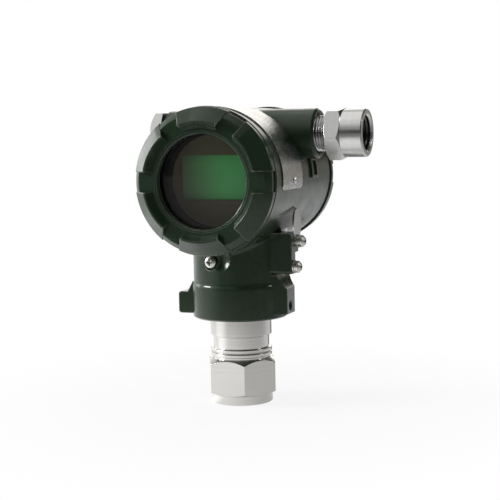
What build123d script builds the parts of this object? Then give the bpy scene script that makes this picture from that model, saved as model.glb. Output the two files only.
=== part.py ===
from build123d import *
import math
import os

# Pressure transmitter with a round two-cover housing on a stainless sensor body, in millimetres.
# Origin: centre of the process port's foot face. +Z runs up the neck, -Y faces the display.

# Clearances
RUN_GAP = 0.07          # radial, thread or shaft in its hole
SEAT_GAP = 0.1          # pieces that slide or turn past each other
BODY_GAP = 0.3          # faces of two bodies that must not touch
FIT_GAP = 0.05          # pieces pressed or bonded in place

# Housing
BODY_BOTTOM_Z = 86.9    # underside of the round body, where the neck ends
BODY_R = 38.5
AXIS_Z = BODY_BOTTOM_Z + BODY_R
FRONT_Y = -44.6         # front end face of the body
REAR_Y = 49.2           # rear end face of the body
BODY_EDGE = 0.8
BODY_WALL = 5.5
CAVITY_R = BODY_R - BODY_WALL
THREAD_R = CAVITY_R + 1.0   # cover thread, both covers
THREAD_DEPTH = 14.0
WALL_FRONT_Y = -4.0     # partition between the two compartments
WALL_REAR_Y = 0.0
STANDOFF_R = 3.0

# Conduit entries
BOSS_Y = 10.3
BOSS_RISE = 23.6        # boss axis above the housing axis
BOSS_END_X = BODY_R + 6.2
BOSS_CHAMFER = 1.2
CONDUIT_R = 9.8         # M20 thread
BOSS_R = CONDUIT_R + 4.1
CONDUIT_ROOT_R = CONDUIT_R - 0.7    # bottom of the thread where it is exposed
CONDUIT_RECESS_R = CONDUIT_R + 1.8
CONDUIT_RECESS_DEPTH = 2.6

# Neck and its base
NECK_R = 25.8
BASE_R = 26.5
BASE_BOTTOM_Z = 48.15
BASE_TOP_Z = 66.9
BASE_SHOULDER = 2.0     # height of the slope between base ring and neck
BASE_ROUND = 4.5
NECK_BLEND = 3.0
LUG_END_X = -35.2
LUG_HALF_WIDTH = 6.2
LUG_BOTTOM_Z = 49.2
LUG_TOP_Z = 61.5
LUG_FAIRING_X = -29.5   # foot of the slope between the lug's top and the neck
LUG_FAIRING = 6.0
LUG_ROUND = 1.6
GRIP_BOSS_END_X = 30.0  # boss of the rotation set screw
GRIP_BOSS_HALF_WIDTH = 6.7
GRIP_BOSS_BOTTOM_Z = 50.4
GRIP_BOSS_TOP_Z = 64.6
GRIP_BOSS_FAIRING = 7.9
GRIP_BOSS_FLARE = 5.3   # widening of each flank down to the base ring
GRIP_BOSS_ROUND = 1.4

# Side block that carries the tag plate and the ground terminal
BLOCK_FRONT_Y = -12.8
BLOCK_BACK_Y = -5.8
BLOCK_BOTTOM_Z = BODY_BOTTOM_Z - 13.5
BLOCK_TOP_Z = BODY_BOTTOM_Z + 8.8
TAG_PAD_Z = BODY_BOTTOM_Z - 2.1     # above this height the block is deeper
TAG_PAD_BACK_Y = -0.6
TAG_SCREW_Y = -5.0
TAG_SCREW_Z = BODY_BOTTOM_Z + 4.0
GROUND_SCREW_Y = -9.1
GROUND_SCREW_Z = BODY_BOTTOM_Z - 9.6
BLOCK_ROUND = 0.6
BLOCK_FOOT_ROUND = 1.6  # rounding along the block's lower edges
ROOT_DEPTH = 8.0        # how far lugs and blocks reach into the neck

# Small blind hole low on the right flank
PIN_HOLE_Y = 24.4
PIN_HOLE_ANGLE = -40.3
PIN_HOLE_R = 1.2
PIN_HOLE_DEPTH = 3.0

# Raised frame cast on the right flank
FRAME_Y = 17.3
FRAME_Z = AXIS_Z + 4.6
FRAME_WIDTH = 9.6
FRAME_HEIGHT = 11.0
FRAME_RIM = 1.4
FRAME_PROUD = 1.2

# Sensor body
FOOT_R = 17.3
FOOT_HEIGHT = 4.9
HEX_FLATS = 36.0
HEX_TOP_Z = 25.2
HEX_TURN = 55.0         # one corner's direction, degrees from +X
HEX_TOP_SLOPE = 38.0
HEX_FOOT_SLOPE = 25.0
PORT_R = 9.2            # M20x1.5 female thread
PORT_DEPTH = 17.0
PORT_CHAMFER = 0.8
CHANNEL_R = 2.5
WELD_RING_R = 17.2
WELD_RING_LOW_Z = 26.2
WELD_RING_MID_Z = 28.6
WELD_RING_TOP_Z = 31.0
WAIST_TOP_Z = 37.9
COLLAR_R = 17.1
WAIST_R = COLLAR_R - 1.4
COLLAR_TOP_Z = 50.1
STEM_R = 13.5
STEM_TOP_Z = 70.0
STEM_WALL = 3.9
STEM_BORE_R = STEM_R - STEM_WALL
CHAMBER_Z = 24.0        # floor of the bore that holds the capsule
DIAPHRAGM_Z = CHAMBER_Z + 0.8
CAPSULE_HEIGHT = 12.0
DIAPHRAGM_THICK = 0.3
CAPSULE_RING_HEIGHT = 4.0
HEADER_HEIGHT = 6.0
NECK_GROOVE_Z = 53.0
NECK_GROOVE_WIDTH = 2.4
NECK_GROOVE_DEPTH = 1.9
PASSAGE_R = 5.0
LEAD_R = 2.0
LEAD_BEND_R = 4.0
PASSAGE_TOP_Z = BODY_BOTTOM_Z - 0.9

# Covers, heights measured outwards from the cover's rear face
COVER_GAP = 0.3         # dark line between cover and housing
FLANGE_R = BODY_R + 0.8
FLANGE_HEIGHT = 1.5
FLANGE_EDGE = 0.8
LOBE_R = FLANGE_R - 0.3
FLOOR_R = LOBE_R - 3.6  # where the flat floor between the lobes ends
FLOOR_HEIGHT = 9.0
FLOOR_EDGE_R = LOBE_R - 0.7
FLOOR_EDGE_HEIGHT = 5.7 # outer edge of the sloping part of the floor
FLOOR_ROUND = 1.0
LOBE_SHOULDER = 5.5
RIDGE_R = LOBE_R - 8.0
RIDGE_HEIGHT = 13.2
RIDGE_WIDTH = 1.0
LOBE_FOOT_R = RIDGE_R - 3.2
LOBE_EDGE = 0.4         # rounding along the notches
RING_R = LOBE_FOOT_R - 1.4
RING_HEIGHT = 8.75
LIP_R = RING_R - 1.6
LIP_HEIGHT = 8.5
NOTCH_WIDTH = 10.5
NOTCH_COUNT = 6
SPIGOT_LENGTH = 12.0
SPIGOT_WALL = 4.4
SPIGOT_BORE_R = THREAD_R - SPIGOT_WALL
SEAL_GROOVE_R = THREAD_R - 2.1
SEAL_GROOVE_HEIGHT = 2.3
SEAL_GROOVE_START = 0.5
CAP_FLOOR = 4.6         # inside height of the closed rear cover
GLASS_THICK = 5.0
GLASS_SEAT = 5.2
GASKET_THICK = 0.9
GLASS_RING_HEIGHT = 3.2
GLASS_RING_BORE_R = LIP_R + 0.8

# Display and electronics
BEZEL_FRONT_Y = -32.0
BEZEL_THICK = 1.0
BEZEL_RIM_R = SPIGOT_BORE_R - 1.0
BEZEL_RIM_PROUD = 2.0
FACE_R = BEZEL_RIM_R - 3.9  # printed face film
FACE_THICK = 0.25
LCD_WIDTH = 39.0
LCD_HEIGHT = 24.2
LCD_RISE = 1.5
LCD_MARGIN = 2.2
LCD_THICK = 2.8
BOARD_THICK = 1.6
BOARD_R = BEZEL_RIM_R - 2.0
CUP_R = CAVITY_R - 0.6
CUP_WALL = 3.2
CUP_FRONT_Y = -28.5
CUP_BACK_Y = -8.0
CUP_FLOOR = 1.6
CUP_SCREW_RING_R = CUP_R - CUP_WALL / 2
BEZEL_FLANGE = 1.4
MAIN_BOARD_Y = -14.5
LEDGE_WIDTH = 1.6
SMALL_SCREW_R = 1.0
SMALL_HEAD_R = 1.4

# Terminal block in the rear compartment
TERMINAL_Y = 4.0
TERMINAL_WIDTH = 44.0
TERMINAL_HEIGHT = 24.0
TERMINAL_Z = AXIS_Z - 6.4
TERMINAL_BASE = 4.0
STRIP_DEPTH = 10.0
STRIP_HEIGHT = 15.0
POLE_COUNT = 3
POLE_PITCH = 12.0
POLE_POCKET = 9.6
POLE_SEAT = TERMINAL_BASE + 4.0     # height of the clamp plates' seats
CLAMP_THICK = 1.0
TERMINAL_SCREW_R = 1.5
FEEDTHROUGH_R = 5.0
FEEDTHROUGH_Z = TERMINAL_Z - 4.0

# Nameplate strap over the top of the body
PLATE_THICK = 0.6
PLATE_GAP = 0.05
PLATE_BOSS_GAP = 0.6    # bare strip between the strap and the conduit bosses
PLATE_FRONT_Y = -35.8
PLATE_BACK_Y = BOSS_Y - BOSS_R - PLATE_BOSS_GAP
PLATE_END_ANGLE = -7.8
PLATE_CORNER_R = 2.5
RIVET_Y = -17.0
RIVET_ANGLE = -1.0
RIVET_R = 1.2
RIVET_HEAD_R = 2.1
RIVET_HEAD_HEIGHT = 0.9
RIVET_GAP = 0.03
RIVET_DEPTH = 3.0

# Tag plate, and the block's face that holds it clear of the round body
TAG_THICK = 1.0
TAG_HEAD_Z = TAG_SCREW_Z + 9.3
TAG_HEAD_WIDTH = 12.0
TAG_HEAD_HEIGHT = 17.4
TAG_BODY_GAP = 0.3
TAG_DROP = AXIS_Z - TAG_HEAD_Z - TAG_HEAD_HEIGHT / 2
BLOCK_FACE_X = math.sqrt(BODY_R ** 2 - TAG_DROP ** 2) + TAG_BODY_GAP - SEAT_GAP

# Screws with a pan head and cross recess
SCREW_R = 2.0
SCREW_HEAD_R = SCREW_R + 1.3
SCREW_HEAD_HEIGHT = 2.4
SCREW_LENGTH = 8.0
WASHER_R = SCREW_R + 1.6
WASHER_THICK = 0.7
SPRING_WASHER_R = SCREW_R + 1.2
TAG_TAIL_WIDTH = 2 * SCREW_HEAD_R
SPRING_WASHER_THICK = 1.0
CROSS_WIDTH = 0.9
CROSS_LENGTH = 3.6
CROSS_DEPTH = 1.3

# Cover lock screws
LOCK_X = -7.5
LOCK_Z = BODY_BOTTOM_Z - 6.4
LOCK_SEAT = 22.8        # distance of the screw's seat from the neck axis
LOCK_RECESS_R = SCREW_HEAD_R + 1.3
DISH_X = -1.8
DISH_Z = LOCK_Z + 2.6
DISH_R = 7.4
DISH_DEPTH = 2.8        # of the scoop, below the neck's surface

# Rotation set screw
SET_SCREW_Y = -1.0
SET_SCREW_Z = 54.8
SET_SCREW_LENGTH = 9.0
SET_SCREW_TIP_X = STEM_R + 0.7
SET_SCREW_KEY = 2.0

# Conduit adapter, male to female
ADAPTER_HEX_FLATS = 2 * (CONDUIT_R + 3.7)
ADAPTER_HEX_START_X = BOSS_END_X + 5.7
ADAPTER_HEX_END_X = ADAPTER_HEX_START_X + 9.2
ADAPTER_HEX_TURN = 10.0
ADAPTER_SLEEVE_R = 13.2
ADAPTER_END_X = ADAPTER_HEX_END_X + 12.1
ADAPTER_STUB_X = BOSS_END_X - 11.2
ADAPTER_BORE_R = 9.3
ADAPTER_BORE_DEPTH = 14.0
ADAPTER_PASSAGE_R = 6.5

# Blanking plug
PLUG_HEX_FLATS = 2 * (CONDUIT_R + 2.9)
PLUG_HEAD_HEIGHT = 6.6
PLUG_STUB_LENGTH = 11.0
PLUG_SEAL_THICK = 1.0
PLUG_SEAL_R = CONDUIT_R + 2.6
PLUG_HOLLOW_R = 6.0

SQRT3 = math.sqrt(3.0)


def turned(points, rounds=()):
    """Revolve a closed (radius, height) outline about Z; rounds lists (point index, fillet radius)."""
    outline = make_face(Plane.XZ * Polyline(*points, close=True))
    for index, radius in rounds:
        place = Vector(points[index][0], 0, points[index][1])
        corner = outline.vertices().sort_by_distance(place)[0]
        outline = fillet(corner, radius)
    return revolve(outline, Axis.Z, 360)


def rod(radius, start, end):
    """Round bar along Z from start to end."""
    return Pos(0, 0, start) * Cylinder(radius, end - start, align=(Align.CENTER, Align.CENTER, Align.MIN))


def block(low, high):
    """Box between two corners."""
    size = [high[i] - low[i] for i in range(3)]
    return Pos(*low) * Box(*size, align=(Align.MIN, Align.MIN, Align.MIN))


def facing_front(y, x=0.0, z=0.0):
    """Place whose +Z points to -Y, for pieces built upright."""
    return Plane(origin=(x, y, z), x_dir=(1, 0, 0), z_dir=(0, -1, 0)).location


def facing_rear(y, x=0.0, z=0.0):
    """Place whose +Z points to +Y."""
    return Plane(origin=(x, y, z), x_dir=(-1, 0, 0), z_dir=(0, 1, 0)).location


def facing_right(x, y, z):
    """Place whose +Z points to +X."""
    return Plane(origin=(x, y, z), x_dir=(0, 1, 0), z_dir=(1, 0, 0)).location


def facing_left(x, y, z):
    """Place whose +Z points to -X."""
    return Plane(origin=(x, y, z), x_dir=(0, -1, 0), z_dir=(-1, 0, 0)).location


def flank_place(radius, y, angle):
    """Place on a cylinder about the housing axis, its +Z pointing outwards at the angle above +X."""
    out = (math.cos(math.radians(angle)), 0, math.sin(math.radians(angle)))
    origin = (radius * out[0], y, AXIS_Z + radius * out[2])
    return Plane(origin=origin, x_dir=(0, 1, 0), z_dir=out).location


def chamfered_hex(flats, start, end, turn, start_slope, end_slope, flat_r):
    """Hexagon prism along Z with both ends turned down to flat_r at the given slopes."""
    prism = Pos(0, 0, start) * extrude(Rot(0, 0, turn) * RegularPolygon(flats / SQRT3, 6), end - start)
    corner_r = flats / SQRT3 + 1.0
    low = (corner_r - flat_r) * math.tan(math.radians(start_slope))
    high = (corner_r - flat_r) * math.tan(math.radians(end_slope))
    envelope = turned([
        (0, start), (flat_r, start), (corner_r, start + low),
        (corner_r, end - high), (flat_r, end), (0, end),
    ])
    return prism & envelope


def ring(outer_r, inner_r, start, end):
    """Flat ring along Z."""
    return rod(outer_r, start, end) - rod(inner_r, start - 1.0, end + 1.0)


def o_ring(inner_r, outer_r, height):
    """Round-section seal ring whose section is centred at height."""
    section_r = (outer_r - inner_r) / 2
    return Pos(0, 0, height) * Torus((outer_r + inner_r) / 2, section_r)


def pan_screw(radius, head_r, head_height, length, cross_length, cross_width, cross_depth):
    """Pan-head screw, head above Z = 0 and shank below, with a cross recess."""
    crown = head_height * 0.55
    screw = turned(
        [(0, -length), (radius - 0.4, -length), (radius, -length + 0.4), (radius, 0), (head_r, 0),
         (head_r, head_height - crown), (head_r * 0.55, head_height), (0, head_height)],
        rounds=[(5, crown * 0.7)],
    )
    for turn in (0, 90):
        slot = Rot(0, 0, turn) * Box(cross_length, cross_width, cross_depth * 2)
        screw -= Pos(0, 0, head_height) * slot
    return screw


def standard_screw():
    return pan_screw(SCREW_R, SCREW_HEAD_R, SCREW_HEAD_HEIGHT, SCREW_LENGTH,
                     CROSS_LENGTH, CROSS_WIDTH, CROSS_DEPTH)


def spring_washer(outer_r, height):
    """Split spring washer standing on Z = 0."""
    washer = ring(outer_r, SCREW_R + RUN_GAP, 0, height)
    gap = Pos(outer_r * 0.8, 0, height / 2) * Rot(20, 0, 0) * Box(outer_r, 0.5, height * 3)
    return washer - gap


# Housing casting

def cover_bore(depth):
    """Threaded mouth and compartment, opening at Z = 0 and running down."""
    mouth = rod(THREAD_R + RUN_GAP, -THREAD_DEPTH, 0)
    mouth += rod(CAVITY_R, -depth, -THREAD_DEPTH)
    lead_in = turned([(0, 0), (THREAD_R + RUN_GAP + 0.8, 0), (THREAD_R + RUN_GAP, -0.8), (0, -0.8)])
    return mouth + lead_in


def housing_body():
    """Round body with both conduit bosses and the neck, outside form only."""
    body = turned([
        (0, 0), (BODY_R - BODY_EDGE, 0), (BODY_R, BODY_EDGE),
        (BODY_R, REAR_Y - FRONT_Y - BODY_EDGE), (BODY_R - BODY_EDGE, REAR_Y - FRONT_Y), (0, REAR_Y - FRONT_Y),
    ])
    body = facing_rear(FRONT_Y, z=AXIS_Z) * body
    boss = turned([
        (0, -BOSS_END_X), (BOSS_R - BOSS_CHAMFER, -BOSS_END_X), (BOSS_R, -BOSS_END_X + BOSS_CHAMFER),
        (BOSS_R, BOSS_END_X - BOSS_CHAMFER), (BOSS_R - BOSS_CHAMFER, BOSS_END_X), (0, BOSS_END_X),
    ])
    body += facing_right(0, BOSS_Y, AXIS_Z + BOSS_RISE) * boss
    neck = rod(NECK_R, BASE_TOP_Z - 1.0, AXIS_Z - BODY_R / 2)
    joined = body + neck
    seam = [
        edge for edge in joined.edges().filter_by(GeomType.BSPLINE) + joined.edges().filter_by(GeomType.OTHER)
        if edge.center().Z < AXIS_Z - BODY_R * 0.6
    ]
    return joined, seam


def neck_base():
    """Base ring below the neck, with its rounded upper and lower edges."""
    slope_low = BASE_TOP_Z - BASE_SHOULDER / 2
    slope_high = BASE_TOP_Z + BASE_SHOULDER / 2
    top = slope_high + BASE_ROUND
    return turned([
        (0, BASE_BOTTOM_Z), (BASE_R - BODY_EDGE, BASE_BOTTOM_Z), (BASE_R, BASE_BOTTOM_Z + BODY_EDGE),
        (BASE_R, slope_low), (NECK_R, slope_high), (NECK_R, top), (0, top),
    ], rounds=[(3, BASE_ROUND), (4, BASE_ROUND)])


def base_lug():
    """Square lug on the left of the base, sloping up into the neck."""
    root_x = -NECK_R + ROOT_DEPTH
    top_z = LUG_TOP_Z + LUG_FAIRING
    side = Plane.XZ * Polyline(
        (root_x, LUG_BOTTOM_Z), (LUG_END_X, LUG_BOTTOM_Z), (LUG_END_X, LUG_TOP_Z), (LUG_FAIRING_X, LUG_TOP_Z),
        (-NECK_R - 0.4, top_z), (root_x, top_z), close=True)
    lug = extrude(make_face(side), LUG_HALF_WIDTH, both=True)
    lug = fillet(lug.edges().filter_by(Axis.Y).group_by(Axis.X)[0], LUG_ROUND)
    flanks = lug.faces().filter_by(Axis.Y)
    rims = [edge for edge in flanks.edges() if edge.center().X < LUG_FAIRING_X]
    return fillet(rims, LUG_ROUND / 2)


def grip_boss():
    """Boss of the rotation set screw on the right of the base, faired into the neck above."""
    root_x = NECK_R - ROOT_DEPTH
    top_z = GRIP_BOSS_TOP_Z + GRIP_BOSS_FAIRING
    foot = (GRIP_BOSS_END_X, GRIP_BOSS_TOP_Z)
    head = (NECK_R - 0.3, top_z)
    outline = Polyline(head, (root_x, top_z), (root_x, GRIP_BOSS_BOTTOM_Z),
                       (GRIP_BOSS_END_X, GRIP_BOSS_BOTTOM_Z), foot)
    outline += RadiusArc(foot, head, 1.6 * GRIP_BOSS_FAIRING)
    side = extrude(make_face(Plane.XZ * outline), BASE_R, both=True)
    flank_x = math.sqrt(BASE_R ** 2 - (GRIP_BOSS_HALF_WIDTH + GRIP_BOSS_FLARE) ** 2)
    plan = make_face(Polyline(
        (root_x, -BASE_R / 2), (flank_x, -GRIP_BOSS_HALF_WIDTH - GRIP_BOSS_FLARE),
        (GRIP_BOSS_END_X, -GRIP_BOSS_HALF_WIDTH), (GRIP_BOSS_END_X, GRIP_BOSS_HALF_WIDTH),
        (flank_x, GRIP_BOSS_HALF_WIDTH + GRIP_BOSS_FLARE), (root_x, BASE_R / 2), close=True))
    boss = side & extrude(plan, top_z)
    boss = fillet(boss.edges().filter_by(Axis.Z).group_by(Axis.X)[-1], GRIP_BOSS_ROUND)
    return boss


def side_block():
    """Block on the right of the neck, deeper behind the tag plate's screw."""
    root_x = NECK_R - ROOT_DEPTH
    low = block((root_x, BLOCK_FRONT_Y, BLOCK_BOTTOM_Z), (BLOCK_FACE_X, BLOCK_BACK_Y, BLOCK_TOP_Z))
    low = fillet(low.edges().filter_by(Axis.X).group_by(Axis.Z)[0], BLOCK_FOOT_ROUND)
    pad = block((root_x, BLOCK_BACK_Y - 1.0, TAG_PAD_Z), (BLOCK_FACE_X, TAG_PAD_BACK_Y, BLOCK_TOP_Z))
    joined = low + pad
    return fillet(joined.faces().sort_by(Axis.X)[-1].edges(), BLOCK_ROUND)


def raised_frame():
    """Rectangular frame cast proud of the right flank, open in the middle."""
    reach = BODY_R + FRAME_PROUD
    half_y = FRAME_WIDTH / 2
    half_z = FRAME_HEIGHT / 2
    outer = block((CAVITY_R + 2.0, FRAME_Y - half_y, FRAME_Z - half_z),
                  (BODY_R + 4.0, FRAME_Y + half_y, FRAME_Z + half_z))
    inner = block((CAVITY_R, FRAME_Y - half_y + FRAME_RIM, FRAME_Z - half_z + FRAME_RIM),
                  (BODY_R + 5.0, FRAME_Y + half_y - FRAME_RIM, FRAME_Z + half_z - FRAME_RIM))
    skin = facing_rear(FRONT_Y, z=AXIS_Z) * rod(reach, 0, REAR_Y - FRONT_Y)
    return (outer - inner) & skin


def conduit_bore():
    """Threaded conduit hole with its recessed mouth at Z = 0, running down into the rear compartment."""
    hole = rod(CONDUIT_R + FIT_GAP, -(BOSS_END_X - 8.0), 0)
    mouth = turned([
        (0, 0.5), (CONDUIT_RECESS_R + 0.6, 0.5), (CONDUIT_RECESS_R, -0.4),
        (CONDUIT_R + 0.6, -CONDUIT_RECESS_DEPTH), (0, -CONDUIT_RECESS_DEPTH),
    ])
    return hole + mouth


def lock_pocket(screw_place, dish_place):
    """Counterbore, tapped hole and scooped dish of one cover lock screw."""
    depth = NECK_R + 2.0 - LOCK_SEAT
    pocket = screw_place * rod(LOCK_RECESS_R, 0, depth)
    pocket += screw_place * rod(SCREW_R + RUN_GAP, -SCREW_LENGTH - 1.0, 0)
    scoop_r = (DISH_R ** 2 + DISH_DEPTH ** 2) / (2 * DISH_DEPTH)
    pocket += dish_place * Pos(0, 0, scoop_r - DISH_DEPTH) * Sphere(scoop_r)
    return pocket


def standoff_spots(radius, count):
    """Points evenly round the housing axis, the first one at the top."""
    angles = [math.radians(90 + 360 * i / count) for i in range(count)]
    return [(radius * math.cos(angle), radius * math.sin(angle)) for angle in angles]


def housing_casting():
    casting, seam = housing_body()
    casting = fillet(seam, NECK_BLEND)
    casting += neck_base() + base_lug() + grip_boss() + side_block() + raised_frame()

    # Compartments and the wall between them
    casting -= facing_front(FRONT_Y, z=AXIS_Z) * cover_bore(WALL_FRONT_Y - FRONT_Y)
    casting -= facing_rear(REAR_Y, z=AXIS_Z) * cover_bore(REAR_Y - WALL_REAR_Y)
    for x, rise in standoff_spots(CUP_R - CUP_WALL - 5.0, 3):
        standoff = rod(STANDOFF_R, 0, WALL_FRONT_Y + 1.0 - CUP_BACK_Y)
        casting += facing_front(WALL_FRONT_Y + 1.0, x, AXIS_Z + rise) * standoff
    for side in (-1, 1):
        x = side * (TERMINAL_WIDTH / 2 - STANDOFF_R - 1.0)
        standoff = rod(STANDOFF_R, 0, TERMINAL_Y - WALL_REAR_Y + 1.0)
        casting += facing_rear(WALL_REAR_Y - 1.0, x, TERMINAL_Z) * standoff
    casting -= facing_rear(WALL_FRONT_Y - 1.0, 0, FEEDTHROUGH_Z) * rod(FEEDTHROUGH_R + FIT_GAP, 0, 6.0)

    # Conduit entries
    casting -= facing_right(BOSS_END_X, BOSS_Y, AXIS_Z + BOSS_RISE) * conduit_bore()
    casting -= facing_left(-BOSS_END_X, BOSS_Y, AXIS_Z + BOSS_RISE) * conduit_bore()

    # Neck bore for the sensor stem, and the passage to the front compartment
    casting -= rod(COLLAR_R + RUN_GAP, BASE_BOTTOM_Z - 1.0, COLLAR_TOP_Z + BODY_GAP)
    casting -= rod(STEM_R + RUN_GAP, COLLAR_TOP_Z, STEM_TOP_Z + 4.0)
    casting -= rod(PASSAGE_R, STEM_TOP_Z, PASSAGE_TOP_Z)
    floor_z = AXIS_Z - CAVITY_R
    casting -= block((-PASSAGE_R, WALL_FRONT_Y - 3 * PASSAGE_R, PASSAGE_TOP_Z - 2 * PASSAGE_R),
                     (PASSAGE_R, 0, PASSAGE_TOP_Z))
    casting -= block((-PASSAGE_R, WALL_FRONT_Y - 3 * PASSAGE_R, PASSAGE_TOP_Z - 1.0),
                     (PASSAGE_R, WALL_FRONT_Y - 0.5, floor_z + 3.0))

    # Screw holes
    hole = rod(SCREW_R + RUN_GAP, -SCREW_LENGTH - 1.0, 1.0)
    casting -= facing_right(BLOCK_FACE_X, TAG_SCREW_Y, TAG_SCREW_Z) * hole
    casting -= facing_right(BLOCK_FACE_X, GROUND_SCREW_Y, GROUND_SCREW_Z) * hole
    casting -= lock_pocket(facing_front(-LOCK_SEAT, LOCK_X, LOCK_Z), facing_front(-NECK_R, DISH_X, DISH_Z))
    casting -= lock_pocket(facing_rear(LOCK_SEAT, -LOCK_X, LOCK_Z), facing_rear(NECK_R, -DISH_X, DISH_Z))
    grip = turned([
        (0, 1.0), (SCREW_R + 1.9, 1.0), (SCREW_R + RUN_GAP, -0.9),
        (SCREW_R + RUN_GAP, -(GRIP_BOSS_END_X - STEM_R + 2.0)), (0, -(GRIP_BOSS_END_X - STEM_R + 2.0)),
    ])
    casting -= facing_right(GRIP_BOSS_END_X, SET_SCREW_Y, SET_SCREW_Z) * grip
    for place in rivet_places():
        casting -= place * rod(RIVET_R + RIVET_GAP, -RIVET_DEPTH - 1.0, 1.0)
    casting -= flank_place(BODY_R, PIN_HOLE_Y, PIN_HOLE_ANGLE) * rod(PIN_HOLE_R, -PIN_HOLE_DEPTH, 1.0)
    return casting


# Covers

def cover_lobe():
    """One lobe between the notches at 0 and 60 degrees, its edges along them rounded."""
    root_r = FLOOR_R - FLOOR_ROUND
    flange_top = FLANGE_HEIGHT + 0.6
    form = turned([
        (LOBE_FOOT_R, FLOOR_HEIGHT - 0.5), (root_r, FLOOR_HEIGHT - 0.5), (root_r, flange_top),
        (LOBE_R, flange_top), (LOBE_R, LOBE_SHOULDER), (RIDGE_R + RIDGE_WIDTH / 2, RIDGE_HEIGHT),
        (RIDGE_R - RIDGE_WIDTH / 2, RIDGE_HEIGHT), (LOBE_FOOT_R, FLOOR_HEIGHT),
    ], rounds=[(4, 1.2), (5, 0.6), (6, 0.4)])
    half_notch = NOTCH_WIDTH / 2
    sector = math.radians(360 / NOTCH_COUNT)
    reach = 2 * LOBE_R
    wedge = make_face(Polyline(
        (half_notch / math.tan(sector / 2), half_notch), (reach, half_notch),
        (reach * math.cos(sector) + half_notch * math.sin(sector),
         reach * math.sin(sector) - half_notch * math.cos(sector)),
        close=True))
    lobe = form & extrude(wedge, RIDGE_HEIGHT + 1.0)
    walls = lobe.faces().filter_by(GeomType.PLANE).filter_by(lambda face: abs(face.normal_at().Z) < 0.1)
    rims = []
    for edge in walls.edges():
        middle = edge.position_at(0.5)
        outer = math.hypot(middle.X, middle.Y) > LOBE_R - 0.3
        if outer or middle.Z > FLOOR_HEIGHT - 0.3:
            rims.append(edge)
    return fillet(rims, LOBE_EDGE)


def cover(windowed):
    """Lobed cover, rear face at Z = 0 and outside upwards, with its threaded spigot below."""
    inner_top = GLASS_SEAT if windowed else CAP_FLOOR
    shell = [
        (RING_R, RING_HEIGHT), (RING_R, FLOOR_HEIGHT), (FLOOR_R, FLOOR_HEIGHT),
        (FLOOR_EDGE_R, FLOOR_EDGE_HEIGHT), (FLOOR_EDGE_R, FLANGE_HEIGHT + 0.6),
        (FLANGE_R - FLANGE_EDGE, FLANGE_HEIGHT + 0.6),
        (FLANGE_R, FLANGE_HEIGHT), (FLANGE_R, 0), (THREAD_R, 0),
        (THREAD_R, -SEAL_GROOVE_START), (SEAL_GROOVE_R, -SEAL_GROOVE_START),
        (SEAL_GROOVE_R, -SEAL_GROOVE_START - SEAL_GROOVE_HEIGHT),
        (THREAD_R, -SEAL_GROOVE_START - SEAL_GROOVE_HEIGHT), (THREAD_R, -SPIGOT_LENGTH + 0.6),
        (THREAD_R - 0.6, -SPIGOT_LENGTH), (SPIGOT_BORE_R, -SPIGOT_LENGTH), (SPIGOT_BORE_R, inner_top),
    ]
    floor_edges = (2, 3)
    if windowed:
        face = [(LIP_R, inner_top), (LIP_R, LIP_HEIGHT - 0.4), (LIP_R + 0.4, LIP_HEIGHT)]
    else:
        face = [(0, inner_top), (0, LIP_HEIGHT)]
    face += [(RING_R - 1.0, LIP_HEIGHT), (RING_R - 1.0, RING_HEIGHT)]
    shell_solid = turned(shell + face, rounds=[(i, FLOOR_ROUND) for i in floor_edges])
    lobe = cover_lobe()
    for i in range(NOTCH_COUNT):
        shell_solid += Rot(0, 0, 360 * i / NOTCH_COUNT) * lobe
    return shell_solid


def front_place():
    return facing_front(FRONT_Y - COVER_GAP, z=AXIS_Z)


def rear_place():
    return facing_rear(REAR_Y + COVER_GAP, z=AXIS_Z)


def cover_seal():
    """Seal ring that lies in the cover's groove."""
    middle = -SEAL_GROOVE_START - SEAL_GROOVE_HEIGHT / 2
    return o_ring(SEAL_GROOVE_R + SEAT_GAP, THREAD_R + RUN_GAP - SEAT_GAP, middle)


def window_pieces():
    """Gasket, glass and threaded retaining ring, in the cover's own frame."""
    glass_r = SPIGOT_BORE_R - 0.3
    gasket_low = GLASS_SEAT - GASKET_THICK
    glass_low = gasket_low - GLASS_THICK
    gasket = ring(glass_r, LIP_R + 0.6, gasket_low, GLASS_SEAT)
    glass = turned([
        (0, glass_low), (glass_r - 0.4, glass_low), (glass_r, glass_low + 0.4),
        (glass_r, gasket_low - 0.4), (glass_r - 0.4, gasket_low), (0, gasket_low),
    ])
    clamp = ring(SPIGOT_BORE_R - RUN_GAP, GLASS_RING_BORE_R, glass_low - GLASS_RING_HEIGHT, glass_low)
    for i in range(2):
        slot = Box(3.0, 2.4, 1.6)
        clamp -= Rot(0, 0, 180 * i) * Pos(SPIGOT_BORE_R - 1.0, 0, glass_low - GLASS_RING_HEIGHT) * slot
    return gasket, glass, clamp


# Display and electronics, built upright with +Z towards the front

def rounded_slab(width, height, thickness, corner, rise):
    """Rounded rectangular plate standing on Z = 0."""
    return Pos(0, rise, 0) * extrude(RectangleRounded(width, height, corner), thickness)


def display_bezel():
    """Moulded ring and face with the display window, with its flange on the cup's rim."""
    back = CUP_FRONT_Y - BEZEL_FRONT_Y
    shape = turned([
        (0, -BEZEL_THICK), (BOARD_R + 0.4, -BEZEL_THICK), (BOARD_R + 0.4, -back), (CUP_R, -back),
        (CUP_R, -back + BEZEL_FLANGE), (BEZEL_RIM_R, -back + BEZEL_FLANGE), (BEZEL_RIM_R, BEZEL_RIM_PROUD),
        (FACE_R + 1.2, BEZEL_RIM_PROUD), (FACE_R + 0.2, 0), (0, 0),
    ])
    window = rounded_slab(LCD_WIDTH, LCD_HEIGHT, BEZEL_THICK + 2.0, 0.5, LCD_RISE)
    shape -= Pos(0, 0, -BEZEL_THICK - 1.0) * window
    for x, y in standoff_spots(CUP_SCREW_RING_R, 3):
        shape -= Pos(x, y, -back - 1.0) * rod(SMALL_SCREW_R + RUN_GAP, 0, 4.0)
    return shape


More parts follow.
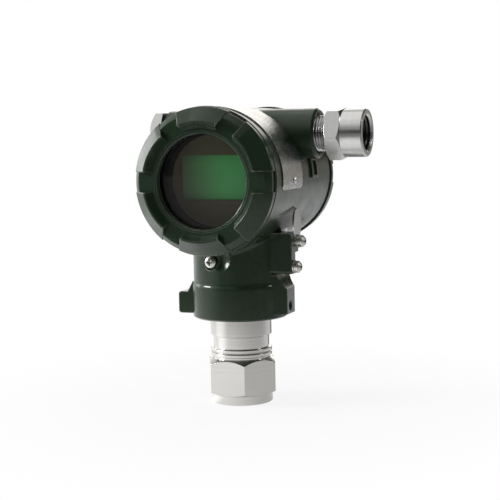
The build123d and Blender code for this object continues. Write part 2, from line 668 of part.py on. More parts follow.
def face_film():
    film = rod(FACE_R, 0, FACE_THICK)
    return film - Pos(0, 0, -1.0) * rounded_slab(LCD_WIDTH - 0.6, LCD_HEIGHT - 0.6, 3.0, 0.5, LCD_RISE)


def lcd_panel():
    slab = rounded_slab(LCD_WIDTH + 2 * LCD_MARGIN, LCD_HEIGHT + 2 * LCD_MARGIN, LCD_THICK, 0.4, LCD_RISE)
    return Pos(0, 0, -BEZEL_THICK - LCD_THICK) * slab


def display_board():
    top = -BEZEL_THICK - LCD_THICK
    board = rod(BOARD_R, top - BOARD_THICK, top)
    for x in (-14.0, 0.0, 14.0):
        board += Pos(x, -19.0, top - BOARD_THICK - 1.0) * Box(5.0, 3.0, 2.2)
    return board


def electronics_cup():
    """Moulded cup that holds the main board, its rear face on the housing's stand-offs."""
    depth = CUP_BACK_Y - CUP_FRONT_Y
    ledge = CUP_BACK_Y - MAIN_BOARD_Y
    cup = turned([
        (0, 0), (CUP_R - 1.0, 0), (CUP_R, 1.0), (CUP_R, depth), (CUP_R - CUP_WALL, depth),
        (CUP_R - CUP_WALL, ledge), (CUP_R - CUP_WALL - LEDGE_WIDTH, ledge),
        (CUP_R - CUP_WALL - LEDGE_WIDTH, CUP_FLOOR), (0, CUP_FLOOR),
    ])
    for x, y in standoff_spots(CUP_SCREW_RING_R, 3):
        cup -= Pos(x, y, depth - 5.0) * rod(SMALL_SCREW_R + 0.04, 0, 6.0)
    return cup


def main_board():
    board = rod(CUP_R - CUP_WALL - 0.3, 0, BOARD_THICK)
    for x, y, width, depth, height in ((-8, 6, 12, 12, 1.6), (9, -6, 9, 9, 1.4), (12, 12, 6, 8, 3.0)):
        board += Pos(x, y, BOARD_THICK + height / 2 - 0.1) * Box(width, depth, height + 0.2)
    return board


def display_screws():
    head_z = CUP_FRONT_Y - BEZEL_FRONT_Y
    screw = pan_screw(SMALL_SCREW_R, SMALL_HEAD_R, 1.2, 5.0, 1.6, 0.4, 0.6)
    return [Pos(x, y, -head_z + BEZEL_FLANGE) * screw for x, y in standoff_spots(CUP_SCREW_RING_R, 3)]


# Terminal compartment, built upright with +Z towards the rear

def terminal_block():
    block_solid = rounded_slab(TERMINAL_WIDTH, TERMINAL_HEIGHT, TERMINAL_BASE, 3.0, 0)
    length = POLE_COUNT * POLE_PITCH + 2.0
    block_solid += Pos(0, 0, TERMINAL_BASE + STRIP_DEPTH / 2) * Box(length, STRIP_HEIGHT, STRIP_DEPTH)
    for x in pole_positions():
        pocket = block((x - POLE_POCKET / 2, -STRIP_HEIGHT / 2 - 1.0, POLE_SEAT),
                       (x + POLE_POCKET / 2, STRIP_HEIGHT / 2 + 1.0, TERMINAL_BASE + STRIP_DEPTH + 1.0))
        block_solid -= pocket
        block_solid -= Pos(x, 0, 0) * rod(TERMINAL_SCREW_R + RUN_GAP, TERMINAL_BASE - 1.0, POLE_SEAT + 1.0)
    return block_solid


def pole_positions():
    return [(i - (POLE_COUNT - 1) / 2) * POLE_PITCH for i in range(POLE_COUNT)]


def terminal_clamps():
    """Plated clamp plates under the terminal screws."""
    clamp = Pos(0, 0, POLE_SEAT + CLAMP_THICK / 2) * Box(POLE_POCKET - 0.8, 9.0, CLAMP_THICK)
    clamp -= rod(TERMINAL_SCREW_R + RUN_GAP, POLE_SEAT - 1.0, POLE_SEAT + 2.0)
    return [Pos(x, 0, 0) * clamp for x in pole_positions()]


def terminal_screws():
    screw = pan_screw(TERMINAL_SCREW_R, 2.9, 1.9, 4.5, 3.0, 0.7, 0.9)
    return [Pos(x, 0, POLE_SEAT + CLAMP_THICK) * screw for x in pole_positions()]


# Outside fittings of the housing

def nameplate():
    """Thin strap bent over the top of the body, with rounded corners at its two ends."""
    inner = BODY_R + PLATE_GAP
    outer = inner + PLATE_THICK
    width = PLATE_BACK_Y - PLATE_FRONT_Y
    strap = facing_rear(PLATE_FRONT_Y, z=AXIS_Z) * ring(outer, inner, 0, width)
    end_z = AXIS_Z + outer * math.sin(math.radians(PLATE_END_ANGLE))
    top_z = AXIS_Z + outer + 5.0
    sheet = RectangleRounded(width, top_z - end_z + 30.0, PLATE_CORNER_R)
    middle = Plane(origin=(0, (PLATE_FRONT_Y + PLATE_BACK_Y) / 2, (top_z + end_z + 30.0) / 2),
                   x_dir=(0, 1, 0), z_dir=(1, 0, 0))
    strap &= extrude(middle * sheet, outer + 2.0, both=True)
    for place in rivet_places():
        strap -= place * rod(RIVET_R + RIVET_GAP, -RIVET_DEPTH, RIVET_DEPTH)
    return strap


def rivet_places():
    """Seats of the two drive rivets, on the plate's outer face, pointing outwards."""
    seat = BODY_R + PLATE_GAP + PLATE_THICK
    return [flank_place(seat, RIVET_Y, RIVET_ANGLE), flank_place(seat, RIVET_Y, 180 - RIVET_ANGLE)]


def nameplate_rivets():
    rivet = turned([
        (0, -RIVET_DEPTH), (RIVET_R, -RIVET_DEPTH), (RIVET_R, 0), (RIVET_HEAD_R, 0.06), (RIVET_HEAD_R, 0.25),
        (RIVET_HEAD_R * 0.5, RIVET_HEAD_HEIGHT), (0, RIVET_HEAD_HEIGHT),
    ], rounds=[(4, 0.3)])
    return [place * rivet for place in rivet_places()]


def tag_plate():
    """Paddle-shaped plate behind the tag screw, wide at the top and narrow at the screw."""
    half_head = TAG_HEAD_WIDTH / 2
    half_tail = TAG_TAIL_WIDTH / 2
    rise = TAG_HEAD_Z - TAG_SCREW_Z
    outline = Circle(half_tail)
    outline += Pos(0, rise / 2) * Rectangle(TAG_TAIL_WIDTH, rise)
    outline += Pos(0, rise) * Ellipse(half_head, TAG_HEAD_HEIGHT / 2)
    plate = extrude(outline, TAG_THICK)
    plate -= rod(SCREW_R + RUN_GAP, -1.0, TAG_THICK + 1.0)
    return facing_right(BLOCK_FACE_X + SEAT_GAP, TAG_SCREW_Y, TAG_SCREW_Z) * plate


def screw_stack(seat_x, y, z):
    """Plain washer, spring washer and pan screw that press on a face at seat_x."""
    plain = ring(WASHER_R, SCREW_R + RUN_GAP, SEAT_GAP, SEAT_GAP + WASHER_THICK)
    spring = Pos(0, 0, SEAT_GAP + WASHER_THICK) * spring_washer(SPRING_WASHER_R, SPRING_WASHER_THICK)
    top = 2 * SEAT_GAP + WASHER_THICK + SPRING_WASHER_THICK
    place = facing_right(seat_x, y, z)
    return [place * plain, place * spring], place * Pos(0, 0, top) * standard_screw()


def lock_set(place):
    """Spring washer and screw of one cover lock."""
    washer = place * Pos(0, 0, SEAT_GAP) * spring_washer(SPRING_WASHER_R, SPRING_WASHER_THICK)
    screw = place * Pos(0, 0, 2 * SEAT_GAP + SPRING_WASHER_THICK) * standard_screw()
    return washer, screw


def rotation_set_screw():
    """Headless screw with a hexagon socket and a cone point."""
    screw = turned([
        (0, 0), (SCREW_R - 1.0, 0), (SCREW_R, 1.0), (SCREW_R, SET_SCREW_LENGTH - 0.3),
        (SCREW_R - 0.3, SET_SCREW_LENGTH), (0, SET_SCREW_LENGTH),
    ])
    socket = extrude(RegularPolygon(SET_SCREW_KEY / SQRT3, 6), 2.5)
    screw -= Pos(0, 0, SET_SCREW_LENGTH - 2.4) * socket
    return facing_right(SET_SCREW_TIP_X, SET_SCREW_Y, SET_SCREW_Z) * screw


def conduit_adapter():
    """Threaded stub, chamfered hexagon and female sleeve, built along Z with X positions as heights."""
    body = chamfered_hex(ADAPTER_HEX_FLATS, ADAPTER_HEX_START_X, ADAPTER_HEX_END_X, ADAPTER_HEX_TURN,
                         30, 30, ADAPTER_HEX_FLATS / 2 - 0.4)
    engaged_x = BOSS_END_X - CONDUIT_RECESS_DEPTH
    body += turned([
        (0, ADAPTER_STUB_X), (CONDUIT_ROOT_R, ADAPTER_STUB_X), (CONDUIT_R, ADAPTER_STUB_X + 0.8),
        (CONDUIT_R, engaged_x), (CONDUIT_ROOT_R, engaged_x + 0.4),
        (CONDUIT_ROOT_R, ADAPTER_HEX_START_X + 1.0), (0, ADAPTER_HEX_START_X + 1.0),
    ])
    body += turned([
        (0, ADAPTER_HEX_END_X - 1.0), (ADAPTER_SLEEVE_R, ADAPTER_HEX_END_X - 1.0),
        (ADAPTER_SLEEVE_R, ADAPTER_END_X - 0.6), (ADAPTER_SLEEVE_R - 0.6, ADAPTER_END_X), (0, ADAPTER_END_X),
    ])
    bore_floor = ADAPTER_END_X - ADAPTER_BORE_DEPTH
    body -= turned([
        (0, ADAPTER_STUB_X - 1.0), (ADAPTER_PASSAGE_R, ADAPTER_STUB_X - 1.0),
        (ADAPTER_PASSAGE_R, bore_floor - 1.5),
        (ADAPTER_BORE_R, bore_floor), (ADAPTER_BORE_R, ADAPTER_END_X - 1.0),
        (ADAPTER_BORE_R + 1.5, ADAPTER_END_X + 0.5), (0, ADAPTER_END_X + 0.5),
    ])
    return facing_right(0, BOSS_Y, AXIS_Z + BOSS_RISE) * body


def plug_place():
    return facing_left(-BOSS_END_X, BOSS_Y, AXIS_Z + BOSS_RISE)


def plug_seal():
    return plug_place() * ring(PLUG_SEAL_R, CONDUIT_R + RUN_GAP, SEAT_GAP, SEAT_GAP + PLUG_SEAL_THICK)


def blanking_plug():
    """Hexagon-headed plug, hollow behind the head."""
    seat = 2 * SEAT_GAP + PLUG_SEAL_THICK
    plug = chamfered_hex(PLUG_HEX_FLATS, seat, seat + PLUG_HEAD_HEIGHT, 0, 10, 35, PLUG_HEX_FLATS / 2 - 0.6)
    plug += turned([
        (0, -PLUG_STUB_LENGTH), (CONDUIT_R - 0.8, -PLUG_STUB_LENGTH), (CONDUIT_R, -PLUG_STUB_LENGTH + 0.8),
        (CONDUIT_R, seat + 0.5), (0, seat + 0.5),
    ])
    plug -= rod(PLUG_HOLLOW_R, -PLUG_STUB_LENGTH - 1.0, 0)
    return plug_place() * plug


# Sensor

def sensor_body():
    """Turned stainless body: foot, hexagon, two weld rings, waist, collar and threaded stem."""
    body = chamfered_hex(HEX_FLATS, FOOT_HEIGHT, HEX_TOP_Z, HEX_TURN, HEX_FOOT_SLOPE, HEX_TOP_SLOPE, FOOT_R)
    groove_r = WELD_RING_R - 0.9
    body += turned([
        (0, 0), (FOOT_R - 0.5, 0), (FOOT_R, 0.5), (FOOT_R, FOOT_HEIGHT + 1.0), (0, FOOT_HEIGHT + 1.0),
    ])
    body += turned([
        (0, HEX_TOP_Z - 1.0), (groove_r, HEX_TOP_Z - 1.0), (groove_r, WELD_RING_LOW_Z),
        (WELD_RING_R, WELD_RING_LOW_Z + 0.4), (WELD_RING_R, WELD_RING_MID_Z - 0.5),
        (groove_r, WELD_RING_MID_Z - 0.1), (groove_r, WELD_RING_MID_Z + 0.1),
        (WELD_RING_R, WELD_RING_MID_Z + 0.5), (WELD_RING_R, WELD_RING_TOP_Z - 0.4),
        (WELD_RING_R - 0.4, WELD_RING_TOP_Z), (WAIST_R, WELD_RING_TOP_Z),
        (WAIST_R, WAIST_TOP_Z), (COLLAR_R - 0.3, WAIST_TOP_Z), (COLLAR_R, WAIST_TOP_Z + 0.3),
        (COLLAR_R, COLLAR_TOP_Z), (STEM_R, COLLAR_TOP_Z),
        (STEM_R, NECK_GROOVE_Z), (STEM_R - NECK_GROOVE_DEPTH, NECK_GROOVE_Z),
        (STEM_R - NECK_GROOVE_DEPTH, NECK_GROOVE_Z + NECK_GROOVE_WIDTH),
        (STEM_R, NECK_GROOVE_Z + NECK_GROOVE_WIDTH),
        (STEM_R, STEM_TOP_Z - 0.8), (STEM_R - 0.8, STEM_TOP_Z), (0, STEM_TOP_Z),
    ])
    body -= turned([
        (0, -1.0), (PORT_R + PORT_CHAMFER + 1.0, -1.0), (PORT_R, PORT_CHAMFER), (PORT_R, PORT_DEPTH),
        (CHANNEL_R, PORT_DEPTH + 2.5), (CHANNEL_R, CHAMBER_Z), (STEM_BORE_R, CHAMBER_Z),
        (STEM_BORE_R, STEM_TOP_Z + 1.0), (0, STEM_TOP_Z + 1.0),
    ])
    return body


def isolating_diaphragm():
    """Thin corrugated disc against the capsule's underside."""
    low = DIAPHRAGM_Z
    rim_r = STEM_BORE_R - SEAT_GAP
    waves = 4
    points = [(0, low), (rim_r, low), (rim_r, low + DIAPHRAGM_THICK), (0, low + DIAPHRAGM_THICK)]
    disc = turned(points)
    for i in range(waves):
        middle = CHANNEL_R + (i + 0.5) * (rim_r - CHANNEL_R) / waves
        disc -= ring(middle + 0.35, middle - 0.35, low - 1.0, low + DIAPHRAGM_THICK / 2)
    return disc


def pressure_capsule():
    """Oil-filled sensing capsule with its four pins."""
    low = DIAPHRAGM_Z + DIAPHRAGM_THICK
    radius = STEM_BORE_R - RUN_GAP
    capsule = turned([
        (0, low), (radius, low), (radius, low + CAPSULE_HEIGHT - 1.0), (radius - 1.0, low + CAPSULE_HEIGHT),
        (0, low + CAPSULE_HEIGHT),
    ])
    pin = Pos(3.0, 0, 0) * rod(0.4, low + CAPSULE_HEIGHT - 1.0, low + CAPSULE_HEIGHT + 6.0)
    for i in range(4):
        capsule += Rot(0, 0, 45 + 90 * i) * pin
    return capsule


def capsule_ring():
    """Threaded ring that clamps the capsule."""
    low = DIAPHRAGM_Z + DIAPHRAGM_THICK + CAPSULE_HEIGHT
    clamp = ring(STEM_BORE_R - RUN_GAP, 6.4, low, low + CAPSULE_RING_HEIGHT)
    return clamp - Pos(0, 0, low + CAPSULE_RING_HEIGHT) * Box(2 * STEM_BORE_R, 2.0, 2.4)


def stem_header():
    """Potted socket that closes the top of the stem."""
    radius = STEM_BORE_R - FIT_GAP
    header = rod(radius, STEM_TOP_Z - HEADER_HEIGHT, STEM_TOP_Z)
    return header + rod(3.6, STEM_TOP_Z - 1.0, STEM_TOP_Z + 1.6)


def sensor_lead():
    """Bundled lead from the stem's socket, up the passage and forward to the main board."""
    start = STEM_TOP_Z + 1.6 + BODY_GAP
    turn_z = PASSAGE_TOP_Z - 4.5
    front_y = WALL_FRONT_Y - 8.0
    top_z = AXIS_Z - CUP_R - 0.4
    path = FilletPolyline((0, 0, start), (0, 0, turn_z), (0, front_y, turn_z + 0.5), (0, front_y, top_z),
                          radius=LEAD_BEND_R)
    section = Plane(origin=(0, 0, start), z_dir=(0, 0, 1)) * Circle(LEAD_R)
    return sweep(section, path)


def neck_seal():
    middle = NECK_GROOVE_Z + NECK_GROOVE_WIDTH / 2
    return o_ring(STEM_R - NECK_GROOVE_DEPTH + 0.02, STEM_R + RUN_GAP - 0.04, middle)


def feedthrough():
    """Sealed pins through the wall between the compartments."""
    plug = rod(FEEDTHROUGH_R, 0, WALL_REAR_Y - WALL_FRONT_Y)
    for x in (-2.0, 0.0, 2.0):
        plug += Pos(x, 0, 0) * rod(0.5, -3.0, WALL_REAR_Y - WALL_FRONT_Y + 3.0)
    return facing_rear(WALL_FRONT_Y, 0, FEEDTHROUGH_Z) * plug


def write(name, shape):
    """Write one node: a solid, or a group of separate solids."""
    solids = []
    for piece in shape if isinstance(shape, (list, tuple)) else [shape]:
        solids += list(piece.solids())
    node = solids[0] if len(solids) == 1 else Compound(children=[Part(s.wrapped) for s in solids])
    export_step(node, os.path.join("parts", name + ".step"))


def main():
    os.makedirs("parts", exist_ok=True)

    write("sensor_body", sensor_body())
    write("isolating_diaphragm", isolating_diaphragm())
    write("pressure_capsule", pressure_capsule())
    write("capsule_ring", capsule_ring())
    write("stem_header", stem_header())
    write("neck_seal", neck_seal())

    write("housing_casting", housing_casting())
    write("sensor_lead", sensor_lead())
    write("feedthrough", feedthrough())

    write("electronics_cup", facing_front(CUP_BACK_Y, z=AXIS_Z) * electronics_cup())
    write("main_board", facing_front(MAIN_BOARD_Y, z=AXIS_Z) * main_board())
    bezel_place = facing_front(BEZEL_FRONT_Y, z=AXIS_Z)
    write("display_bezel", bezel_place * display_bezel())
    write("face_film", bezel_place * face_film())
    write("lcd_panel", bezel_place * lcd_panel())
    write("display_board", bezel_place * display_board())
    write("display_screws", [bezel_place * screw for screw in display_screws()])

    terminal_place = facing_rear(TERMINAL_Y, z=TERMINAL_Z)
    write("terminal_block", terminal_place * terminal_block())
    write("terminal_clamps", [terminal_place * clamp for clamp in terminal_clamps()])
    write("terminal_screws", [terminal_place * screw for screw in terminal_screws()])

    gasket, glass, clamp = window_pieces()
    write("front_cover", front_place() * cover(windowed=True))
    write("glass_gasket", front_place() * gasket)
    write("front_glass", front_place() * glass)
    write("glass_ring", front_place() * clamp)
    write("front_cover_seal", front_place() * cover_seal())
    write("rear_cover", rear_place() * cover(windowed=False))
    write("rear_cover_seal", rear_place() * cover_seal())

    write("nameplate", nameplate())
    write("nameplate_rivets", nameplate_rivets())
    write("tag_plate", tag_plate())
    tag_top = BLOCK_FACE_X + SEAT_GAP + TAG_THICK
    washers, screw = screw_stack(tag_top, TAG_SCREW_Y, TAG_SCREW_Z)
    write("tag_washers", washers)
    write("tag_screw", screw)
    washers, screw = screw_stack(BLOCK_FACE_X, GROUND_SCREW_Y, GROUND_SCREW_Z)
    write("ground_washers", washers)
    write("ground_screw", screw)
    washer, screw = lock_set(facing_front(-LOCK_SEAT, LOCK_X, LOCK_Z))
    write("front_lock_washer", washer)
    write("front_lock_screw", screw)
    washer, screw = lock_set(facing_rear(LOCK_SEAT, -LOCK_X, LOCK_Z))
    write("rear_lock_washer", washer)
    write("rear_lock_screw", screw)
    write("rotation_set_screw", rotation_set_screw())

    write("conduit_adapter", conduit_adapter())
    write("plug_seal", plug_seal())
    write("blanking_plug", blanking_plug())


main()
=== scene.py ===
import math

import bpy
from bpy.props import FloatProperty, FloatVectorProperty, PointerProperty
from mathutils import Matrix, Vector


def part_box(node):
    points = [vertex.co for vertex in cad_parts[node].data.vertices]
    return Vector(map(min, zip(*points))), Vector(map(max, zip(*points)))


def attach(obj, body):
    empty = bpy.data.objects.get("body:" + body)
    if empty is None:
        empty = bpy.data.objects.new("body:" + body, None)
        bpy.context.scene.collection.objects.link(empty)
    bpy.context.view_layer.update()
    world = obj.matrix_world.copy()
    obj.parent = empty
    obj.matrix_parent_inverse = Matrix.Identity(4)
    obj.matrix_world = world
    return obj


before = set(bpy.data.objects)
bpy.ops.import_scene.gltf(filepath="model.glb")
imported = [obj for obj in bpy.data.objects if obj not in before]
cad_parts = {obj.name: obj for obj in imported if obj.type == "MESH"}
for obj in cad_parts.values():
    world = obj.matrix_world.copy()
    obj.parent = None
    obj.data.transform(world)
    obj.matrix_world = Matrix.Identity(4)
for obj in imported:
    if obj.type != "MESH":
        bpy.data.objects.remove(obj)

bl_info = {
    "name": "Pressure transmitter looks",
    "version": (1, 0, 0),
    "blender": (4, 5, 0),
    "location": "View3D > Sidebar > Transmitter",
    "description": "Finishes, threads and studio for a painted pressure transmitter",
    "category": "Object",
}

MM = 0.001

# Places that the frame gives
PORT_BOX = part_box("sensor_body")
ADAPTER_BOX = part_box("conduit_adapter")
LCD_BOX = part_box("lcd_panel")
HOUSING_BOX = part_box("housing_casting")

ENTRY_Y = (ADAPTER_BOX[0][1] + ADAPTER_BOX[1][1]) / 2
ENTRY_Z = (ADAPTER_BOX[0][2] + ADAPTER_BOX[1][2]) / 2
ENTRY_FACE_X = HOUSING_BOX[1][0]
ADAPTER_MOUTH_X = ADAPTER_BOX[1][0]
HEXAGON_TOP_Z = PORT_BOX[0][2] + 25.4 * MM

# Walls that the drawn threads stand on, and where along its axis each thread starts and ends
PROCESS_BORE_R = 9.2 * MM
PROCESS_THREAD = (1.6 * MM, 16.0 * MM)
ADAPTER_BORE_R = 9.3 * MM
INNER_THREAD = (ADAPTER_MOUTH_X - 13.0 * MM, ADAPTER_MOUTH_X - 1.2 * MM)
ADAPTER_ROOT_R = 9.1 * MM
OUTER_THREAD = (ENTRY_FACE_X - 2.2 * MM, ENTRY_FACE_X + 5.5 * MM)

# Shape of a drawn thread: steps in a turn, turns over which an end runs out, how far it is sunk
# into its wall, and the height of an inner thread as a share of an outer one's
THREAD_STEPS = 56
THREAD_RUN_OUT = 0.4
THREAD_SUNK = 0.02 * MM
INNER_CREST_SHARE = 0.8

# Profile of a drawn thread, as shares of its pitch and of its height
THREAD_PROFILE = ((0.02, 0.0), (0.42, 1.0), (0.58, 1.0), (0.98, 0.0))

METAL_IOR = 2.5
GLASS_TINT = (0.93, 0.97, 0.94, 1.0)
WHITE = (1.0, 1.0, 1.0, 1.0)

# The Mix node's colour sockets, which share their names with its sockets of other kinds
MIX_FIRST, MIX_SECOND, MIX_RESULT = 6, 7, 2

# Camera of the photograph: place in metres, turns in degrees, focal length in photo pixels
CAMERA_PLACE = (0.259849, -0.669658, 0.155412)
CAMERA_AZIMUTH = 20.741
CAMERA_PITCH = -5.618
CAMERA_ROLL = -1.061
CAMERA_FOCAL_PIXELS = 1292.166
PHOTO_WIDTH = 500
SENSOR_WIDTH = 36.0

# The room as the object mirrors it, which isn't the white that the camera sees: dim in front and at
# the right, white at the left, grey behind at eye level and at the top. Behind and a little higher,
# it is brightest left of the middle (ROOM_BACK_HIGH) and darkest right of it (ROOM_BACK_DARK).
ROOM_FRONT = (0.08, 0.08, 0.077, 1.0)
ROOM_BACK = (0.35, 0.325, 0.29, 1.0)
ROOM_BACK_HIGH = (1.60, 1.56, 1.46, 1.0)
ROOM_BACK_DARK = (0.03, 0.03, 0.028, 1.0)
ROOM_LEFT = (1.0, 1.0, 0.98, 1.0)
ROOM_TOP = (0.62, 0.62, 0.61, 1.0)
ROOM_TOP_RIGHT = (0.10, 0.10, 0.10, 1.0)

# Floor: half its side, and how far it lies under the foot
FLOOR_REACH = 3.0
FLOOR_DROP = 0.05 * MM

# How far the object's shadow is kept on the floor, and the share of plain white close to the object
SHADOW_REACH = 0.20
SHADOW_WHITE = 0.88

# Distances at which the mirrored floor starts to turn from near to far, and is all far
FLOOR_NEAR = 0.17
FLOOR_FAR = 0.50

# Soft lights: name, place, width, height, and the setting that holds the power
SOFT_LIGHTS = (
    ("key_softbox", (-0.90, -0.33, 0.50), 0.35, 0.30, "key_power"),
    ("left_softbox", (-1.02, 0.27, 0.38), 0.40, 0.50, "left_power"),
    ("right_softbox", (0.88, 0.24, 0.52), 0.25, 0.35, "right_power"),
    ("front_light", (-0.45, -1.0, 1.0), 1.6, 1.2, "front_power"),
    ("top_light", (0.0, 0.05, 1.3), 1.4, 1.2, "top_power"),
)
LIGHT_AIM = (0.0, 0.0, 0.10)


class TransmitterColours(bpy.types.PropertyGroup):
    """Colours of the painted, metal and moulded surfaces."""

    paint: FloatVectorProperty(
        name="Paint", description="Body colour of the painted housing and covers",
        default=(0.016, 0.034, 0.0165), subtype="COLOR", min=0.0, max=1.0)
    paint_thin: FloatVectorProperty(
        name="Thin paint", description="Colour where the paint is thinner, in broad patches",
        default=(0.020, 0.042, 0.021), subtype="COLOR", min=0.0, max=1.0)
    # Painted highlight: a pale green laid along sharp edges in place of the shine of their rounding
    paint_edge_highlight: FloatVectorProperty(
        name="Paint edges", description="Colour of the thinnest paint, along sharp edges",
        default=(0.30, 0.34, 0.30), subtype="COLOR", min=0.0, max=1.0)
    turned_steel: FloatVectorProperty(
        name="Turned steel", description="Colour of the sensor body",
        default=(0.605, 0.597, 0.577), subtype="COLOR", min=0.0, max=1.0)
    polished_steel: FloatVectorProperty(
        name="Polished steel", description="Colour of the adapter, strap and plates",
        default=(0.64, 0.64, 0.632), subtype="COLOR", min=0.0, max=1.0)
    # Painted light: the display's colour is a shaded copy on its left side and a lit copy on its
    # right
    screen_shaded_side: FloatVectorProperty(
        name="Screen, dim side", description="Display colour on its left side",
        default=(0.22, 0.25, 0.18), subtype="COLOR", min=0.0, max=1.0)
    screen_lit_side: FloatVectorProperty(
        name="Screen, bright side", description="Display colour on its right side",
        default=(0.17, 0.66, 0.23), subtype="COLOR", min=0.0, max=1.0)
    face: FloatVectorProperty(
        name="Display face", description="Plain face film round the display",
        default=(0.155, 0.125, 0.085), subtype="COLOR", min=0.0, max=1.0)


class TransmitterSizes(bpy.types.PropertyGroup):
    """Sizes of the fine threads and of the surface marks."""

    thread_pitch: FloatProperty(
        name="Thread pitch", description="Pitch of the conduit and process threads",
        default=1.5 * MM, unit="LENGTH", min=0.0005, max=0.003)
    thread_depth: FloatProperty(
        name="Thread depth", description="Height of the thread's crest over its root",
        default=0.75 * MM, unit="LENGTH", min=0.0001, max=0.002)
    orange_peel: FloatProperty(
        name="Paint waviness", description="Size of the waves in the painted surface",
        default=1.3 * MM, unit="LENGTH", min=0.0002, max=0.005)
    tool_marks: FloatProperty(
        name="Tool mark spacing", description="Spacing of the turning and milling lines",
        default=0.22 * MM, unit="LENGTH", min=0.00005, max=0.001)


class TransmitterStudio(bpy.types.PropertyGroup):
    """Light of the studio."""

    key_power: FloatProperty(
        name="Key softbox", description="Power of the small softbox at the left in front",
        default=8.5, unit="POWER", min=0.0, max=200.0)
    left_power: FloatProperty(
        name="Left softbox", description="Power of the tall softbox at the left",
        default=1.3, unit="POWER", min=0.0, max=200.0)
    right_power: FloatProperty(
        name="Right softbox", description="Power of the softbox at the right",
        default=1.2, unit="POWER", min=0.0, max=200.0)
    front_power: FloatProperty(
        name="Front light", description="Power of the broad light above the camera",
        default=1.7, unit="POWER", min=0.0, max=200.0)
    top_power: FloatProperty(
        name="Top light", description="Power of the broad light above the object",
        default=2.4, unit="POWER", min=0.0, max=200.0)
    surround: FloatProperty(
        name="Surround", description="Strength of the even white light from all around",
        default=0.15, min=0.0, max=2.0)


# Shader building

def feed(tree, sockets, values):
    """Fill input sockets: an output socket is linked, and any other value is set."""
    for key, value in values.items():
        if isinstance(value, bpy.types.NodeSocket):
            tree.links.new(value, sockets[key])
        else:
            sockets[key].default_value = value


def add_node(tree, kind, inputs=None, **settings):
    """Add a shader node with its settings, and feed its inputs."""
    made = tree.nodes.new(kind)
    for key, value in settings.items():
        setattr(made, key, value)
    feed(tree, made.inputs, inputs or {})
    return made


def maths(tree, operation, first, second=0.0):
    """Result of one Math node."""
    made = add_node(tree, "ShaderNodeMath", {0: first, 1: second}, operation=operation)
    return made.outputs[0]


def vector_maths(tree, operation, *values):
    """Outputs of one Vector Math node."""
    inputs = dict(enumerate(values))
    return add_node(tree, "ShaderNodeVectorMath", inputs, operation=operation).outputs


def remap(tree, value, low, high, to_low, to_high):
    """Value scaled from one range to another, held at its ends."""
    made = add_node(tree, "ShaderNodeMapRange", {
        "Value": value, "From Min": low, "From Max": high, "To Min": to_low, "To Max": to_high})
    return made.outputs["Result"]


def blend_colour(tree, factor, first, second):
    """Mix of two colours."""
    made = add_node(tree, "ShaderNodeMix", {
        "Factor": factor, MIX_FIRST: first, MIX_SECOND: second}, data_type="RGBA")
    return made.outputs[MIX_RESULT]


def mix_shaders(tree, factor, first, second):
    """Node that mixes the shaders of two nodes."""
    return add_node(tree, "ShaderNodeMixShader", {
        0: factor, 1: first.outputs[0], 2: second.outputs[0]})


def rgba(colour):
    """The colour with full alpha."""
    return (colour[0], colour[1], colour[2], 1.0)


def place_in_metres(tree):
    """The surface point in the part's own frame."""
    return add_node(tree, "ShaderNodeTexCoord").outputs["Object"]


def noise(tree, point, scale, detail, distortion=0.0):
    """Noise at a point in space; scale is in waves to the metre."""
    made = add_node(tree, "ShaderNodeTexNoise", {
        "Vector": point, "Scale": scale, "Detail": detail, "Distortion": distortion})
    return made.outputs["Fac"]


def noise_along(tree, place, detail):
    """Noise at a place along one line."""
    made = add_node(tree, "ShaderNodeTexNoise", {"W": place, "Scale": 1.0, "Detail": detail},
                    noise_dimensions="1D")
    return made.outputs["Fac"]


def new_group(name, inputs, outputs):
    """Shader node group with named float inputs (name, default) and outputs (name, kind)."""
    group = bpy.data.node_groups.new(name, "ShaderNodeTree")
    for label, default in inputs:
        socket = group.interface.new_socket(label, in_out="INPUT", socket_type="NodeSocketFloat")
        socket.default_value = default
    for label, kind in outputs:
        group.interface.new_socket(label, in_out="OUTPUT", socket_type=kind)
    start = group.nodes.new("NodeGroupInput")
    end = group.nodes.new("NodeGroupOutput")
    return group, start.outputs, end.inputs


def paint_waves_group():
    """Waves and fine grain of a sprayed coat, as a height, with a broad tone mask."""
    group, given, result = new_group(
        "Paint waves", [("Wave size", 0.0013), ("Grain share", 0.25)],
        [("Height", "NodeSocketFloat"), ("Tone", "NodeSocketFloat")])
    point = place_in_metres(group)
    rate = maths(group, "DIVIDE", 1.0, given["Wave size"])
    waves = noise(group, point, rate, 1.0)
    grain = noise(group, point, maths(group, "MULTIPLY", rate, 4.5), 2.0)
    share = maths(group, "MULTIPLY", grain, given["Grain share"])
    height = maths(group, "ADD", waves, share)
    broad = noise(group, point, 38.0, 3.0)
    group.links.new(height, result["Height"])
    group.links.new(remap(group, broad, 0.35, 0.65, 0.0, 1.0), result["Tone"])
    return group


def edge_mask_group():
    """Mask of the outer edges within a given radius, and the surface normal rounded over them."""
    group, given, result = new_group(
        "Edge mask", [("Radius", 0.0004)],
        [("Mask", "NodeSocketFloat"), ("Normal", "NodeSocketVector")])
    rounded = add_node(group, "ShaderNodeBevel", {"Radius": given["Radius"]}, samples=6)
    flat = add_node(group, "ShaderNodeNewGeometry")
    likeness = vector_maths(group, "DOT_PRODUCT", rounded.outputs[0], flat.outputs["Normal"])
    group.links.new(remap(group, likeness["Value"], 0.99, 0.80, 0.0, 1.0), result["Mask"])
    group.links.new(rounded.outputs[0], result["Normal"])
    return group


